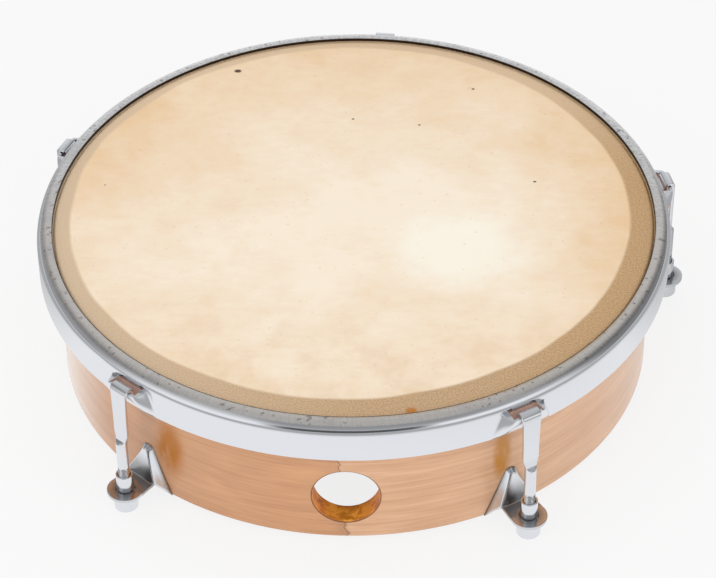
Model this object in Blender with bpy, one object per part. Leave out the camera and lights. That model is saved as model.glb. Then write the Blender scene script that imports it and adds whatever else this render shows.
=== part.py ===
"""Tunable hand drum: a bent wood shell with a natural skin head, drawn down by a
pressed steel counter hoop, five hooks and five tuning nuts in sheet brackets.

Metres, +Z up. The origin is the centre of the head's playing face. The finger hole
faces -Y. Lug angles turn from -Y towards +X.
"""
import math

import bmesh
import bpy
from mathutils import Matrix, Vector

# Fits and facets
GAP = 0.0003
RING_STEPS = 80

# Wood shell
SHELL_RADIUS = 0.125
SHELL_WALL = 0.0095
SHELL_DEPTH = 0.0643
BEARING_ROUND = 0.002
EDGE_BREAK = 0.0008

# Finger hole through the shell
FINGER_HOLE_RADIUS = 0.01345
FINGER_HOLE_RISE = 0.0219
FINGER_HOLE_ROUND = 0.0009

# Skin head and the wire flesh hoop that its edge is wrapped on
SKIN = 0.0006
COLLAR_WIDTH = 0.0027
FLESH_WIRE = 0.004

# Pressed steel counter hoop
HOOP_SHEET = 0.0012
HOOP_CLEARANCE = 0.0007
HOOP_STAND = 0.0014
HOOP_DEPTH = 0.0171
FLANGE_WIDTH = 0.0067
SHOULDER_ROUND = 0.0048
POCKET_BULGE = 0.005
POCKET_FLARE = 0.0045
POCKET_FADE = 0.0035
SLOT_LENGTH = 0.0130
SLOT_DROP = 0.0059

# Lugs
LUG_COUNT = 5
LUG_PHASE = math.radians(-40.4)

# Hooks
STRIP_WIDTH = 0.0086
STRIP_TAPER = 0.0014
STRIP_THICK = 0.0015
ROD_RADIUS = 0.0024
HOOK_TIP = 0.003
HOOK_PLAY = 0.0004
HOOK_RISE = 0.0011
STRIP_LENGTH = 0.0225
FORGE_LENGTH = 0.0055
ROD_OFFSET = 0.0005
ROD_ENGAGE = 0.0095

# Sheet brackets
BRACKET_SHEET = 0.0013
BRACKET_HEIGHT = 0.0221
BRACKET_HALF_FOOT = 0.0119
BRACKET_APEX_ROUND = 0.003
FACE_APEX_ROUND = 0.0016
FACE_HALF_BASE = 0.0076
FACE_STAND_TOP = 0.0023
FACE_STAND_BASE = 0.0056
TONGUE_HALF_WIDTH = 0.007
TONGUE_END_ROUND = 0.0075
TONGUE_RISE = 0.0074
BEND_ROUND = 0.0006

# Tuning nuts
SLEEVE_RADIUS = 0.0035
SLEEVE_STAND = 0.0083
SLEEVE_PLAY = 0.0007
NUT_HEAD_RADIUS = 0.005
NUT_HEAD_HEIGHT = 0.0078
NUT_CHAMFER = 0.0008
SOCKET_FLATS = 0.005
SOCKET_DEPTH = 0.0045

# Bracket fasteners
SCREW_RADIUS = 0.0019
SCREW_RISE = 0.0112
SCREW_HEAD_RADIUS = 0.004
SCREW_HEAD_HEIGHT = 0.0024
SCREW_SLOT_WIDTH = 0.001
SCREW_SLOT_DEPTH = 0.0011
WASHER_RADIUS = 0.005
WASHER_THICK = 0.0008
BACK_NUT_FLATS = 0.007
BACK_NUT_THICK = 0.0019

# Heights that follow from the sizes above
SHELL_TOP = -(SKIN + GAP)
SHELL_BOTTOM = SHELL_TOP - SHELL_DEPTH
SHELL_BORE = SHELL_RADIUS - SHELL_WALL
FLANGE_UNDER = HOOP_STAND - HOOP_SHEET
FLESH_RADIUS = SHELL_RADIUS + GAP + SKIN + GAP + FLESH_WIRE / 2
FLESH_LEVEL = FLANGE_UNDER - GAP - SKIN - GAP - FLESH_WIRE / 2
WRAP_RADIUS = FLESH_WIRE / 2 + GAP + SKIN / 2
HOOP_RADIUS = FLESH_RADIUS + FLESH_WIRE / 2 + GAP + SKIN + HOOP_CLEARANCE + HOOP_SHEET
FLANGE_BORE = HOOP_RADIUS - FLANGE_WIDTH
HOOP_BOTTOM = HOOP_STAND - HOOP_DEPTH
SLOT_TOP = HOOP_STAND - SLOT_DROP
HOOK_TOP = SLOT_TOP + HOOK_RISE
LIP_LEVEL = HOOK_TOP - STRIP_THICK - GAP
LIP_RADIUS = HOOP_RADIUS + POCKET_BULGE
STRIP_RADIUS = LIP_RADIUS + GAP + STRIP_THICK / 2
TIP_RADIUS = LIP_RADIUS - HOOP_SHEET - GAP - HOOK_PLAY - STRIP_THICK / 2
ROD_CENTRE = STRIP_RADIUS + ROD_OFFSET
TONGUE_TOP = SHELL_BOTTOM + TONGUE_RISE
SLEEVE_TOP = TONGUE_TOP + SLEEVE_STAND
ROD_END = SLEEVE_TOP - ROD_ENGAGE
NUT_HEAD_TOP = TONGUE_TOP - BRACKET_SHEET - GAP
NUT_BOTTOM = NUT_HEAD_TOP - NUT_HEAD_HEIGHT
SCREW_LEVEL = SHELL_BOTTOM + SCREW_RISE
WASHER_SEAT = math.sqrt(SHELL_BORE ** 2 - WASHER_RADIUS ** 2) - GAP
SCREW_SEAT = WASHER_SEAT - WASHER_THICK - GAP
FINGER_HOLE_LEVEL = SHELL_BOTTOM + FINGER_HOLE_RISE

MATERIALS = {
    "wood": ((0.66, 0.40, 0.23, 1.0), 0.5, 0.0),
    "skin": ((0.83, 0.66, 0.45, 1.0), 0.55, 0.0),
    "wire": ((0.52, 0.52, 0.53, 1.0), 0.4, 1.0),
    "hoop_steel": ((0.66, 0.66, 0.68, 1.0), 0.3, 1.0),
    "chrome": ((0.80, 0.80, 0.82, 1.0), 0.12, 1.0),
    "zinc": ((0.60, 0.61, 0.62, 1.0), 0.35, 1.0),
}


def clear_scene():
    """Remove every object that is in the file."""
    for found in list(bpy.data.objects):
        bpy.data.objects.remove(found, do_unlink=True)


def make_material(piece, finish):
    """A Principled material of its own for one piece."""
    colour, roughness, metallic = MATERIALS[finish]
    made = bpy.data.materials.new(piece + "_" + finish)
    made.use_nodes = True
    shader = made.node_tree.nodes["Principled BSDF"]
    shader.inputs["Base Color"].default_value = colour
    shader.inputs["Roughness"].default_value = roughness
    shader.inputs["Metallic"].default_value = metallic
    made.diffuse_color = colour
    return made


def shade_by_angle(mesh):
    """Smooth shading with the steep edges kept sharp."""
    mesh.shade_smooth()
    mesh.set_sharp_from_angle(angle=math.radians(35))


def new_mesh(name, shape):
    """Turn a bmesh into a mesh with outward faces and smooth shading."""
    bmesh.ops.recalc_face_normals(shape, faces=shape.faces)
    mesh = bpy.data.meshes.new(name)
    shape.to_mesh(mesh)
    shape.free()
    shade_by_angle(mesh)
    return mesh


def add_piece(name, mesh, finish, parent=None, location=(0, 0, 0), turn=0.0):
    """Place a mesh as a named piece with its own material."""
    if not mesh.materials:
        mesh.materials.append(None)
    piece = bpy.data.objects.new(name, mesh)
    bpy.context.collection.objects.link(piece)
    piece.material_slots[0].link = "OBJECT"
    piece.material_slots[0].material = make_material(name, finish)
    piece.location = location
    piece.rotation_euler = (0, 0, turn)
    piece.parent = parent
    return piece


def add_guide(name, mesh):
    """A cutter: seen as wire, never rendered."""
    guide = bpy.data.objects.new(name, mesh)
    bpy.context.collection.objects.link(guide)
    guide.hide_render = True
    guide.display_type = "WIRE"
    return guide


def cut(piece, cutter):
    """Boolean difference with the exact solver."""
    modifier = piece.modifiers.new("cut_" + cutter.name, "BOOLEAN")
    modifier.operation = "DIFFERENCE"
    modifier.solver = "EXACT"
    modifier.object = cutter


def finished_mesh(name, mesh, modify):
    """The mesh that a master piece has after its modifiers, for all its copies."""
    master = bpy.data.objects.new(name + "_master", mesh)
    bpy.context.collection.objects.link(master)
    modify(master)
    bpy.context.view_layer.update()
    seen = master.evaluated_get(bpy.context.evaluated_depsgraph_get())
    baked = bpy.data.meshes.new_from_object(seen)
    baked.name = name
    bpy.data.objects.remove(master, do_unlink=True)
    shade_by_angle(baked)
    return baked


def arc(centre, radius, start, end, steps):
    """Points along an arc in degrees, both ends included."""
    turns = [math.radians(start + (end - start) * i / steps) for i in range(steps + 1)]
    return [(centre[0] + radius * math.cos(a), centre[1] + radius * math.sin(a)) for a in turns]


def revolve(outline, steps, matrix=Matrix()):
    """Spin a closed (radius, height) outline once round the Z axis."""
    shape = bmesh.new()
    corners = [shape.verts.new((r, 0, z)) for r, z in outline]
    edges = [shape.edges.new((a, b)) for a, b in zip(corners, corners[1:] + corners[:1])]
    bmesh.ops.spin(shape, geom=corners + edges, cent=(0, 0, 0), axis=(0, 0, 1),
                   angle=math.tau, steps=steps, use_merge=True)
    bmesh.ops.remove_doubles(shape, verts=shape.verts, dist=1e-6)
    bmesh.ops.dissolve_degenerate(shape, edges=shape.edges, dist=1e-6)
    bmesh.ops.transform(shape, matrix=matrix, verts=shape.verts)
    return shape


def prism(across_flats, low, high, sides=6, matrix=Matrix()):
    """A prism of the given width across its flats, round the Z axis."""
    shape = bmesh.new()
    corner = across_flats / 2 / math.cos(math.pi / sides)
    ring = [shape.verts.new((corner * math.cos(math.tau * i / sides),
                             corner * math.sin(math.tau * i / sides), low)) for i in range(sides)]
    base = shape.faces.new(ring)
    grown = bmesh.ops.extrude_face_region(shape, geom=[base])
    moved = [g for g in grown["geom"] if isinstance(g, bmesh.types.BMVert)]
    bmesh.ops.translate(shape, verts=moved, vec=(0, 0, high - low))
    bmesh.ops.transform(shape, matrix=matrix, verts=shape.verts)
    return shape


def radial_matrix(level):
    """Turn a shape made round Z so that its axis runs outward, along -Y, at a height."""
    return Matrix.Translation((0, 0, level)) @ Matrix.Rotation(math.radians(90), 4, "X")


def lug_angles():
    return [LUG_PHASE + math.tau * i / LUG_COUNT for i in range(LUG_COUNT)]


def rod_place(angle):
    """Where a rod's axis meets the head's plane."""
    return Vector((ROD_CENTRE * math.sin(angle), -ROD_CENTRE * math.cos(angle), 0))


def make_shell():
    """Bent wood shell with a rounded bearing edge, finger hole and screw holes."""
    outline = [
        (SHELL_BORE + EDGE_BREAK, SHELL_BOTTOM),
        (SHELL_RADIUS - EDGE_BREAK, SHELL_BOTTOM),
        (SHELL_RADIUS, SHELL_BOTTOM + EDGE_BREAK),
    ]
    bearing = (SHELL_RADIUS - BEARING_ROUND, SHELL_TOP - BEARING_ROUND)
    outline += arc(bearing, BEARING_ROUND, 0, 90, 3)
    outline += [
        (SHELL_BORE + EDGE_BREAK, SHELL_TOP),
        (SHELL_BORE, SHELL_TOP - EDGE_BREAK),
        (SHELL_BORE, SHELL_BOTTOM + EDGE_BREAK),
    ]
    shell = add_piece("shell", new_mesh("shell", revolve(outline, RING_STEPS)), "wood")
    cut(shell, add_guide("finger_hole_cutter", new_mesh("finger_hole_cutter", finger_hole_shape())))
    hole = [(0, SHELL_BORE - SHELL_WALL), (SCREW_RADIUS + GAP, SHELL_BORE - SHELL_WALL),
            (SCREW_RADIUS + GAP, SHELL_RADIUS + SHELL_WALL), (0, SHELL_RADIUS + SHELL_WALL)]
    drill = new_mesh("screw_hole_cutter", revolve(hole, 12, radial_matrix(SCREW_LEVEL)))
    for number, angle in enumerate(lug_angles(), 1):
        guide = add_guide("screw_hole_cutter_%d" % number, drill)
        guide.rotation_euler = (0, 0, angle)
        cut(shell, guide)


def finger_hole_shape():
    """A drill along -Y whose ends flare, to round over both rims of the hole."""
    bore, rounding = FINGER_HOLE_RADIUS, FINGER_HOLE_ROUND
    sagitta = bore ** 2 / 4
    outer = SHELL_RADIUS - sagitta / SHELL_RADIUS
    inner = SHELL_BORE - sagitta / SHELL_BORE
    outline = [(0, inner - SHELL_WALL), (bore + rounding, inner - SHELL_WALL)]
    outline += arc((bore + rounding, inner + rounding), rounding, 270, 180, 2)
    outline += arc((bore + rounding, outer - rounding), rounding, 180, 90, 2)
    outline += [(bore + rounding, outer + SHELL_WALL), (0, outer + SHELL_WALL)]
    return revolve(outline, 32, radial_matrix(FINGER_HOLE_LEVEL))


def make_head():
    """The playing membrane, and the skin's edge lapped round the flesh hoop."""
    edge = SHELL_RADIUS - COLLAR_WIDTH
    disc = [(0, -SKIN), (edge, -SKIN), (edge, 0), (0, 0)]
    add_piece("head_skin", new_mesh("head_skin", revolve(disc, RING_STEPS)), "skin")
    bearing = (SHELL_RADIUS - BEARING_ROUND, SHELL_TOP - BEARING_ROUND)
    wire = (FLESH_RADIUS, FLESH_LEVEL)
    over = BEARING_ROUND + GAP
    top_side = [(edge + GAP, 0)] + arc(bearing, over + SKIN, 90, 18, 2)
    top_side += arc(wire, WRAP_RADIUS - SKIN / 2, 180, 468, 5)
    low_side = arc(wire, WRAP_RADIUS + SKIN / 2, 468, 200, 5)
    low_side += arc(bearing, over, 0, 90, 2) + [(edge + GAP, -SKIN)]
    collar = revolve(top_side + low_side, RING_STEPS)
    add_piece("head_collar", new_mesh("head_collar", collar), "skin")


def make_flesh_hoop(carrier):
    """Round wire hoop inside the skin's lap."""
    section = arc((FLESH_RADIUS, FLESH_LEVEL), FLESH_WIRE / 2, 30, 330, 5)
    wire = revolve(section, RING_STEPS)
    add_piece("flesh_hoop", new_mesh("flesh_hoop", wire), "wire", carrier)


def hoop_profile():
    """The hoop's outer face from the flange's bore down to the skirt's lower edge."""
    corner = (HOOP_RADIUS - SHOULDER_ROUND, HOOP_STAND - SHOULDER_ROUND)
    rows = [(FLANGE_BORE, HOOP_STAND)] + arc(corner, SHOULDER_ROUND, 90, 0, 4)
    rows += [(HOOP_RADIUS, SLOT_TOP), (HOOP_RADIUS, LIP_LEVEL)]
    steps = 3
    fall = (HOOP_BOTTOM - LIP_LEVEL) / steps
    rows += [(HOOP_RADIUS, LIP_LEVEL + fall * i) for i in range(1, steps + 1)]
    return rows


def pocket_height(level):
    """Share of the skirt that is left below a height under the pocket's lip."""
    return min((level - HOOP_BOTTOM) / (LIP_LEVEL - HOOP_BOTTOM), 1.0)


def pocket_press(level):
    """How far the sheet is pressed out in a pocket's middle at a height."""
    if level > LIP_LEVEL + GAP:
        return 0.0
    fall = pocket_height(level)
    return POCKET_BULGE * fall * (2 - fall)


def pocket_point(offset, level):
    """Distance along the skirt and rise off it of one mesh point over a pocket."""
    half = SLOT_LENGTH / 2
    spread = POCKET_FLARE * (1 - pocket_height(level))
    side = min(max((abs(offset) - half) / POCKET_FADE, 0.0), 1.0)
    rise = pocket_press(level) * (1 - side * side * (3 - 2 * side))
    along = offset * (1 + spread / max(abs(offset), half))
    return along, rise


def make_counter_hoop(carrier):
    """Pressed sheet hoop: flange, rounded shoulder and skirt with slotted pockets."""
    shape = bmesh.new()
    half = SLOT_LENGTH / 2
    sides = [half + POCKET_FADE * share for share in (0, 0.3, 0.7, 1)]
    offsets = [-side for side in reversed(sides)] + [-half / 2, 0, half / 2] + sides
    plain = 8
    reach = (sides[-1] + POCKET_FLARE) / HOOP_RADIUS
    span = math.tau / LUG_COUNT - 2 * reach
    columns = []
    for angle in lug_angles():
        columns += [(angle, offset) for offset in offsets]
        columns += [(angle + reach + span * (i + 0.5) / plain, None) for i in range(plain)]
    rows = hoop_profile()
    slot_row = rows.index((HOOP_RADIUS, SLOT_TOP))
    grid = []
    for turn, offset in columns:
        line = []
        for radius, level in rows:
            along, rise = (0.0, 0.0) if offset is None else pocket_point(offset, level)
            out, place = radius + rise, turn + along / HOOP_RADIUS
            line.append(shape.verts.new((out * math.sin(place), -out * math.cos(place), level)))
        grid.append(line)
    for index, line in enumerate(grid):
        follower = grid[(index + 1) % len(grid)]
        ends = (columns[index][1], columns[(index + 1) % len(grid)][1])
        over_slot = None not in ends and max(abs(ends[0]), abs(ends[1])) <= half
        for row in range(len(rows) - 1):
            if over_slot and row == slot_row:
                continue
            shape.faces.new((line[row], line[row + 1], follower[row + 1], follower[row]))
    hoop = add_piece("counter_hoop", new_mesh("counter_hoop", shape), "hoop_steel", carrier)
    sheet = hoop.modifiers.new("sheet", "SOLIDIFY")
    sheet.thickness = HOOP_SHEET
    sheet.offset = -1.0
    sheet.use_even_offset = True


def hook_stations():
    """Centre line of a hook from its tip to its threaded end, with each section."""
    width, thick = STRIP_WIDTH / 2, STRIP_THICK / 2
    turn = (STRIP_RADIUS - TIP_RADIUS) / 2
    crest = HOOK_TOP - thick
    bend = min(turn, STRIP_THICK)
    stations = [(TIP_RADIUS, crest - HOOK_TIP, width, thick, 0.0, 0.0)]
    for radius, level in arc((TIP_RADIUS + bend, crest - bend), bend, 180, 90, 3):
        stations.append((radius, level, width, thick, 0.0, None))
    for radius, level in arc((STRIP_RADIUS - bend, crest - bend), bend, 90, 0, 3):
        stations.append((radius, level, width, thick, 0.0, None))
    low = crest - STRIP_LENGTH
    narrow = width - STRIP_TAPER / 2
    stations.append((STRIP_RADIUS, low, narrow, thick, 0.0, None))
    middle = low - FORGE_LENGTH / 2
    half_way = (STRIP_RADIUS + ROD_CENTRE) / 2
    stations.append((half_way, middle, (narrow + ROD_RADIUS) / 2, ROD_RADIUS * 0.75, 0.5, None))
    stations.append((ROD_CENTRE, low - FORGE_LENGTH, ROD_RADIUS, ROD_RADIUS, 1.0, None))
    stations.append((ROD_CENTRE, ROD_END + EDGE_BREAK, ROD_RADIUS, ROD_RADIUS, 1.0, None))
    stations.append((ROD_CENTRE, ROD_END, ROD_RADIUS - EDGE_BREAK, ROD_RADIUS - EDGE_BREAK, 1.0, None))
    return stations


def hook_section(half_width, half_thick, roundness):
    """Twelve points from a strip with broken corners to a circle."""
    corner = half_thick * 0.6
    side, across = half_width, half_thick
    flat = [(side, -across + corner), (side, across - corner), (side - corner, across),
            (side / 3, across), (-side / 3, across), (-side + corner, across),
            (-side, across - corner), (-side, -across + corner), (-side + corner, -across),
            (-side / 3, -across), (side / 3, -across), (side - corner, -across)]
    mixed = []
    for index, (u, v) in enumerate(flat):
        turn = math.tau * (index - 0.5) / len(flat)
        ring = (half_width * math.cos(turn), half_thick * math.sin(turn))
        mixed.append((u + (ring[0] - u) * roundness, v + (ring[1] - v) * roundness))
    return mixed


def make_hooks(carrier):
    """Hooks forged flat above, bent in over the pocket's lip, round and threaded below."""
    shape = bmesh.new()
    stations = hook_stations()
    points = [Vector((0, -radius, level)) for radius, level, *_ in stations]
    rings = []
    for index, (radius, level, width, thick, roundness, _) in enumerate(stations):
        before = points[max(index - 1, 0)]
        after = points[min(index + 1, len(points) - 1)]
        along = (after - before).normalized()
        across = Vector((1, 0, 0)).cross(along)
        ring = [shape.verts.new(points[index] + Vector((1, 0, 0)) * u + across * v)
                for u, v in hook_section(width, thick, roundness)]
        rings.append(ring)
    for first, second in zip(rings, rings[1:]):
        for a, b, c, d in zip(first, first[1:] + first[:1], second[1:] + second[:1], second):
            shape.faces.new((a, b, c, d))
    shape.faces.new(rings[0])
    shape.faces.new(rings[-1])
    mesh = new_mesh("hook", shape)
    for number, angle in enumerate(lug_angles(), 1):
        add_piece("hook_%d" % number, mesh, "chrome", carrier, turn=angle)


def tangent_curve(apex_round, apex_level, end_u, end_level, steps):
    """Half of a rounded-apex triangle: an arc, then a straight line that it runs into."""
    centre = apex_level - apex_round
    drop = centre - end_level
    reach = math.hypot(end_u, drop)
    lean = math.acos(apex_round / reach) - math.atan2(drop, end_u)
    curve = arc((0, centre), apex_round, 90, math.degrees(lean), steps)
    return curve + [(end_u, end_level)]


def make_brackets():
    """Pressed brackets: leaning face, side walls to the shell, and a bent-out tongue."""
    shape = bmesh.new()
    base = TONGUE_TOP + BEND_ROUND
    apex = SHELL_BOTTOM + BRACKET_HEIGHT
    rim = (BRACKET_APEX_ROUND - FACE_APEX_ROUND)
    foot = tangent_curve(BRACKET_APEX_ROUND, apex, BRACKET_HALF_FOOT, SHELL_BOTTOM, 3)
    face = tangent_curve(FACE_APEX_ROUND, apex - rim, FACE_HALF_BASE, base, 3)
    face_top = apex - rim

    def face_radius(level):
        share = (face_top - level) / (face_top - base)
        return SHELL_RADIUS + FACE_STAND_TOP + (FACE_STAND_BASE - FACE_STAND_TOP) * share

    def both_sides(curve, place):
        right = [shape.verts.new(place(u, z)) for u, z in curve]
        left = [shape.verts.new(place(-u, z)) for u, z in curve[1:]]
        return list(reversed(left)) + right

    sunk = SHELL_RADIUS - BRACKET_SHEET
    foot_loop = both_sides(foot, lambda u, z: (u, -math.sqrt(sunk ** 2 - u ** 2), z))
    face_loop = both_sides(face, lambda u, z: (u, -face_radius(z), z))
    for a, b, c, d in zip(foot_loop, foot_loop[1:], face_loop[1:], face_loop):
        shape.faces.new((a, b, c, d))
    out = face_radius(base)
    notch = [shape.verts.new((u, -out, base)) for u in (TONGUE_HALF_WIDTH, -TONGUE_HALF_WIDTH)]
    shape.faces.new(face_loop + notch)
    row = notch
    bend = arc((out + BEND_ROUND, base), BEND_ROUND, 180, 270, 2)
    for radius, level in bend[1:]:
        lower = [shape.verts.new((v.co.x, -radius, level)) for v in row]
        shape.faces.new((row[0], row[1], lower[1], lower[0]))
        row = lower
    tip = arc((0, ROD_CENTRE), TONGUE_END_ROUND, 180, 0, 10)
    end = [shape.verts.new((u, -radius, TONGUE_TOP)) for u, radius in tip]
    shape.faces.new(row + end)

    hole = [(0, -BRACKET_SHEET * 3), (SLEEVE_RADIUS + SLEEVE_PLAY, -BRACKET_SHEET * 3),
            (SLEEVE_RADIUS + SLEEVE_PLAY, BRACKET_SHEET * 2), (0, BRACKET_SHEET * 2)]
    place = Matrix.Translation((0, -ROD_CENTRE, TONGUE_TOP))
    punch = add_guide("tongue_hole_cutter", new_mesh("tongue_hole_cutter", revolve(hole, 20, place)))
    low, high = SHELL_BOTTOM - SHELL_WALL, apex + SHELL_WALL
    block = [(0, low), (SHELL_RADIUS + GAP, low), (SHELL_RADIUS + GAP, high), (0, high)]
    seat = add_guide("shell_seat_cutter", new_mesh("shell_seat_cutter", revolve(block, RING_STEPS)))

    def modify(master):
        sheet = master.modifiers.new("sheet", "SOLIDIFY")
        sheet.thickness = BRACKET_SHEET
        sheet.offset = -1.0
        sheet.use_even_offset = True
        cut(master, punch)
        cut(master, seat)

    mesh = finished_mesh("bracket", new_mesh("bracket_sheet", shape), modify)
    for number, angle in enumerate(lug_angles(), 1):
        add_piece("bracket_%d" % number, mesh, "chrome", turn=angle)


def make_tuning_nuts():
    """Sleeve nuts with a round head and a hexagon socket, turned on the rods' axes."""
    head, sleeve = NUT_HEAD_RADIUS, SLEEVE_RADIUS
    bore = ROD_RADIUS + GAP
    outline = [
        (bore, NUT_BOTTOM), (head - NUT_CHAMFER, NUT_BOTTOM), (head, NUT_BOTTOM + NUT_CHAMFER),
        (head, NUT_HEAD_TOP), (sleeve, NUT_HEAD_TOP), (sleeve, SLEEVE_TOP - EDGE_BREAK / 2),
        (sleeve - EDGE_BREAK / 2, SLEEVE_TOP), (bore, SLEEVE_TOP),
    ]
    socket_top = NUT_BOTTOM + SOCKET_DEPTH
    key = add_guide("socket_cutter", new_mesh(
        "socket_cutter", prism(SOCKET_FLATS, NUT_BOTTOM - SOCKET_DEPTH, socket_top)))
    body = new_mesh("tuning_nut_body", revolve(outline, 16))

    def modify(master):
        cut(master, key)

    mesh = finished_mesh("tuning_nut", body, modify)
    for number, angle in enumerate(lug_angles(), 1):
        axis = bpy.data.objects.new("nut_turn_%d" % number, None)
        bpy.context.collection.objects.link(axis)
        axis.location = rod_place(angle)
        add_piece("tuning_nut_%d" % number, mesh, "chrome", axis, turn=angle)


def make_bracket_fasteners():
    """Screw and washer inside the shell, and the nut that they pull on in the bracket."""
    back_nut_top = SHELL_RADIUS + GAP + BACK_NUT_THICK
    tip = back_nut_top + GAP / 2
    seat, crown = SCREW_SEAT, SCREW_SEAT - SCREW_HEAD_HEIGHT
    head, shank = SCREW_HEAD_RADIUS, SCREW_RADIUS
    screw = [(0, crown), (head - EDGE_BREAK * 1.5, crown), (head, crown + EDGE_BREAK), (head, seat),
             (shank, seat), (shank, tip - EDGE_BREAK), (shank - EDGE_BREAK / 2, tip), (0, tip)]
    outward = radial_matrix(SCREW_LEVEL)
    slot_shape = bmesh.new()
    bmesh.ops.create_cube(slot_shape, size=1.0)
    bmesh.ops.scale(slot_shape, verts=slot_shape.verts,
                    vec=(head * 3, 2 * SCREW_SLOT_DEPTH, SCREW_SLOT_WIDTH))
    bmesh.ops.translate(slot_shape, verts=slot_shape.verts, vec=(0, -crown, SCREW_LEVEL))
    slot = add_guide("screw_slot_cutter", new_mesh("screw_slot_cutter", slot_shape))

    def modify(master):
        cut(master, slot)

    screw_mesh = finished_mesh("bracket_screw", new_mesh("screw_body", revolve(screw, 12, outward)), modify)
    low, high = WASHER_SEAT - WASHER_THICK, WASHER_SEAT
    ring = [(shank + GAP, low), (WASHER_RADIUS, low), (WASHER_RADIUS, high), (shank + GAP, high)]
    washer_mesh = new_mesh("washer", revolve(ring, 12, outward))
    drill_shape = [(0, SHELL_RADIUS - shank), (shank + GAP, SHELL_RADIUS - shank),
                   (shank + GAP, back_nut_top + shank), (0, back_nut_top + shank)]
    drill = add_guide("back_nut_cutter", new_mesh("back_nut_cutter", revolve(drill_shape, 12, outward)))
    hexagon = prism(BACK_NUT_FLATS, SHELL_RADIUS + GAP, back_nut_top, matrix=outward)

    def modify_nut(master):
        cut(master, drill)

    nut_mesh = finished_mesh("bracket_nut", new_mesh("bracket_nut_body", hexagon), modify_nut)
    for number, angle in enumerate(lug_angles(), 1):
        add_piece("bracket_screw_%d" % number, screw_mesh, "zinc", turn=angle)
        add_piece("washer_%d" % number, washer_mesh, "zinc", turn=angle)
        add_piece("bracket_nut_%d" % number, nut_mesh, "zinc", turn=angle)


def main():
    clear_scene()
    make_shell()
    make_head()
    carrier = bpy.data.objects.new("hoop_draw", None)
    bpy.context.collection.objects.link(carrier)
    make_flesh_hoop(carrier)
    make_counter_hoop(carrier)
    make_hooks(carrier)
    make_brackets()
    make_tuning_nuts()
    make_bracket_fasteners()


main()
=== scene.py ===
"""Finished look of a tunable hand drum with a natural skin head.

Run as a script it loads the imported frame, makes each piece with its own operator,
and sets the floor, lights and camera. Lengths are in metres and +Z is up. The origin
is the centre of the playing face, and angles turn from -Y towards +X.
"""

import math

import bmesh
import bpy
import numpy as np
from bpy.props import FloatProperty, FloatVectorProperty, IntProperty, PointerProperty
from mathutils import Matrix, Vector


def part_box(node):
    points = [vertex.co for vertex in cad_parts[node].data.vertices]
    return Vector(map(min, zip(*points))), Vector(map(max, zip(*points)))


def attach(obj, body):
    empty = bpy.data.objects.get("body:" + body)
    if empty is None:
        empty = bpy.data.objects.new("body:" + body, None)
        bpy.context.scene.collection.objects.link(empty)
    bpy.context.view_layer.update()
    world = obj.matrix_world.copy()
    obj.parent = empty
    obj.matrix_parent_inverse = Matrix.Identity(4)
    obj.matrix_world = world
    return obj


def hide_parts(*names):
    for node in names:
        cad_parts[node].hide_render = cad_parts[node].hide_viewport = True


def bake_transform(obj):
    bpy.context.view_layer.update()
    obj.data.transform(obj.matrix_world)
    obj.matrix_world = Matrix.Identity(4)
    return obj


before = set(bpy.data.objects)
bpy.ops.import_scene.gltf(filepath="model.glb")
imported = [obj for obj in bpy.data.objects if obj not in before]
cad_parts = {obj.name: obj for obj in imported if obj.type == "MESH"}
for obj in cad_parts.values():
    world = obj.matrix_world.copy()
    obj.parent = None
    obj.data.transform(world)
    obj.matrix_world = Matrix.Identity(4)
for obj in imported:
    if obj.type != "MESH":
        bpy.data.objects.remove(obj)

bl_info = {
    "name": "Tunable hand drum",
    "version": (1, 0, 0),
    "blender": (4, 5, 0),
    "location": "3D View > Sidebar > Drum",
    "description": "Shell, head, hoop and tuning fittings of a shallow hand drum",
    "category": "Add Mesh",
}

SHELL_BODY = "shell_body"
HOOP_BODY = "hoop_body"
BEARING_ROUND = 0.0020
EDGE_ROUND = 0.0008
HOLE_ROUND = 0.0009
HOLE_COLUMNS = 17
HOOK_SHEET = 0.0015
TONGUE_BEND = 0.0006
TONGUE_HALF = 0.00695
WASHER_RADIUS = 0.0050
# Corner value of the brackets' painted shade, where the face meets the tongue and on the tongue's
# bend
BRACKET_SHADE = 0.66
CLEARANCE = 0.0003
LUGS = len([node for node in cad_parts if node.startswith("hook_")])


def rod_places():
    """Angle and distance from the drum's axis of each rod, from the nuts' boxes."""
    places = []
    for number in range(1, LUGS + 1):
        low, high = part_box("tuning_nut_%d" % number)
        x, y = (low.x + high.x) / 2, (low.y + high.y) / 2
        places.append((math.atan2(x, -y), math.hypot(x, y)))
    return places


SHELL_LOW, SHELL_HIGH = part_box("shell")
HOOP_LOW, HOOP_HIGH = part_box("counter_hoop")
NUT_LOW, NUT_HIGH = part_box("tuning_nut_1")
HOOK_LOW, HOOK_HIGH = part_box("hook_1")
ROD_DISTANCE = rod_places()[0][1]


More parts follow.
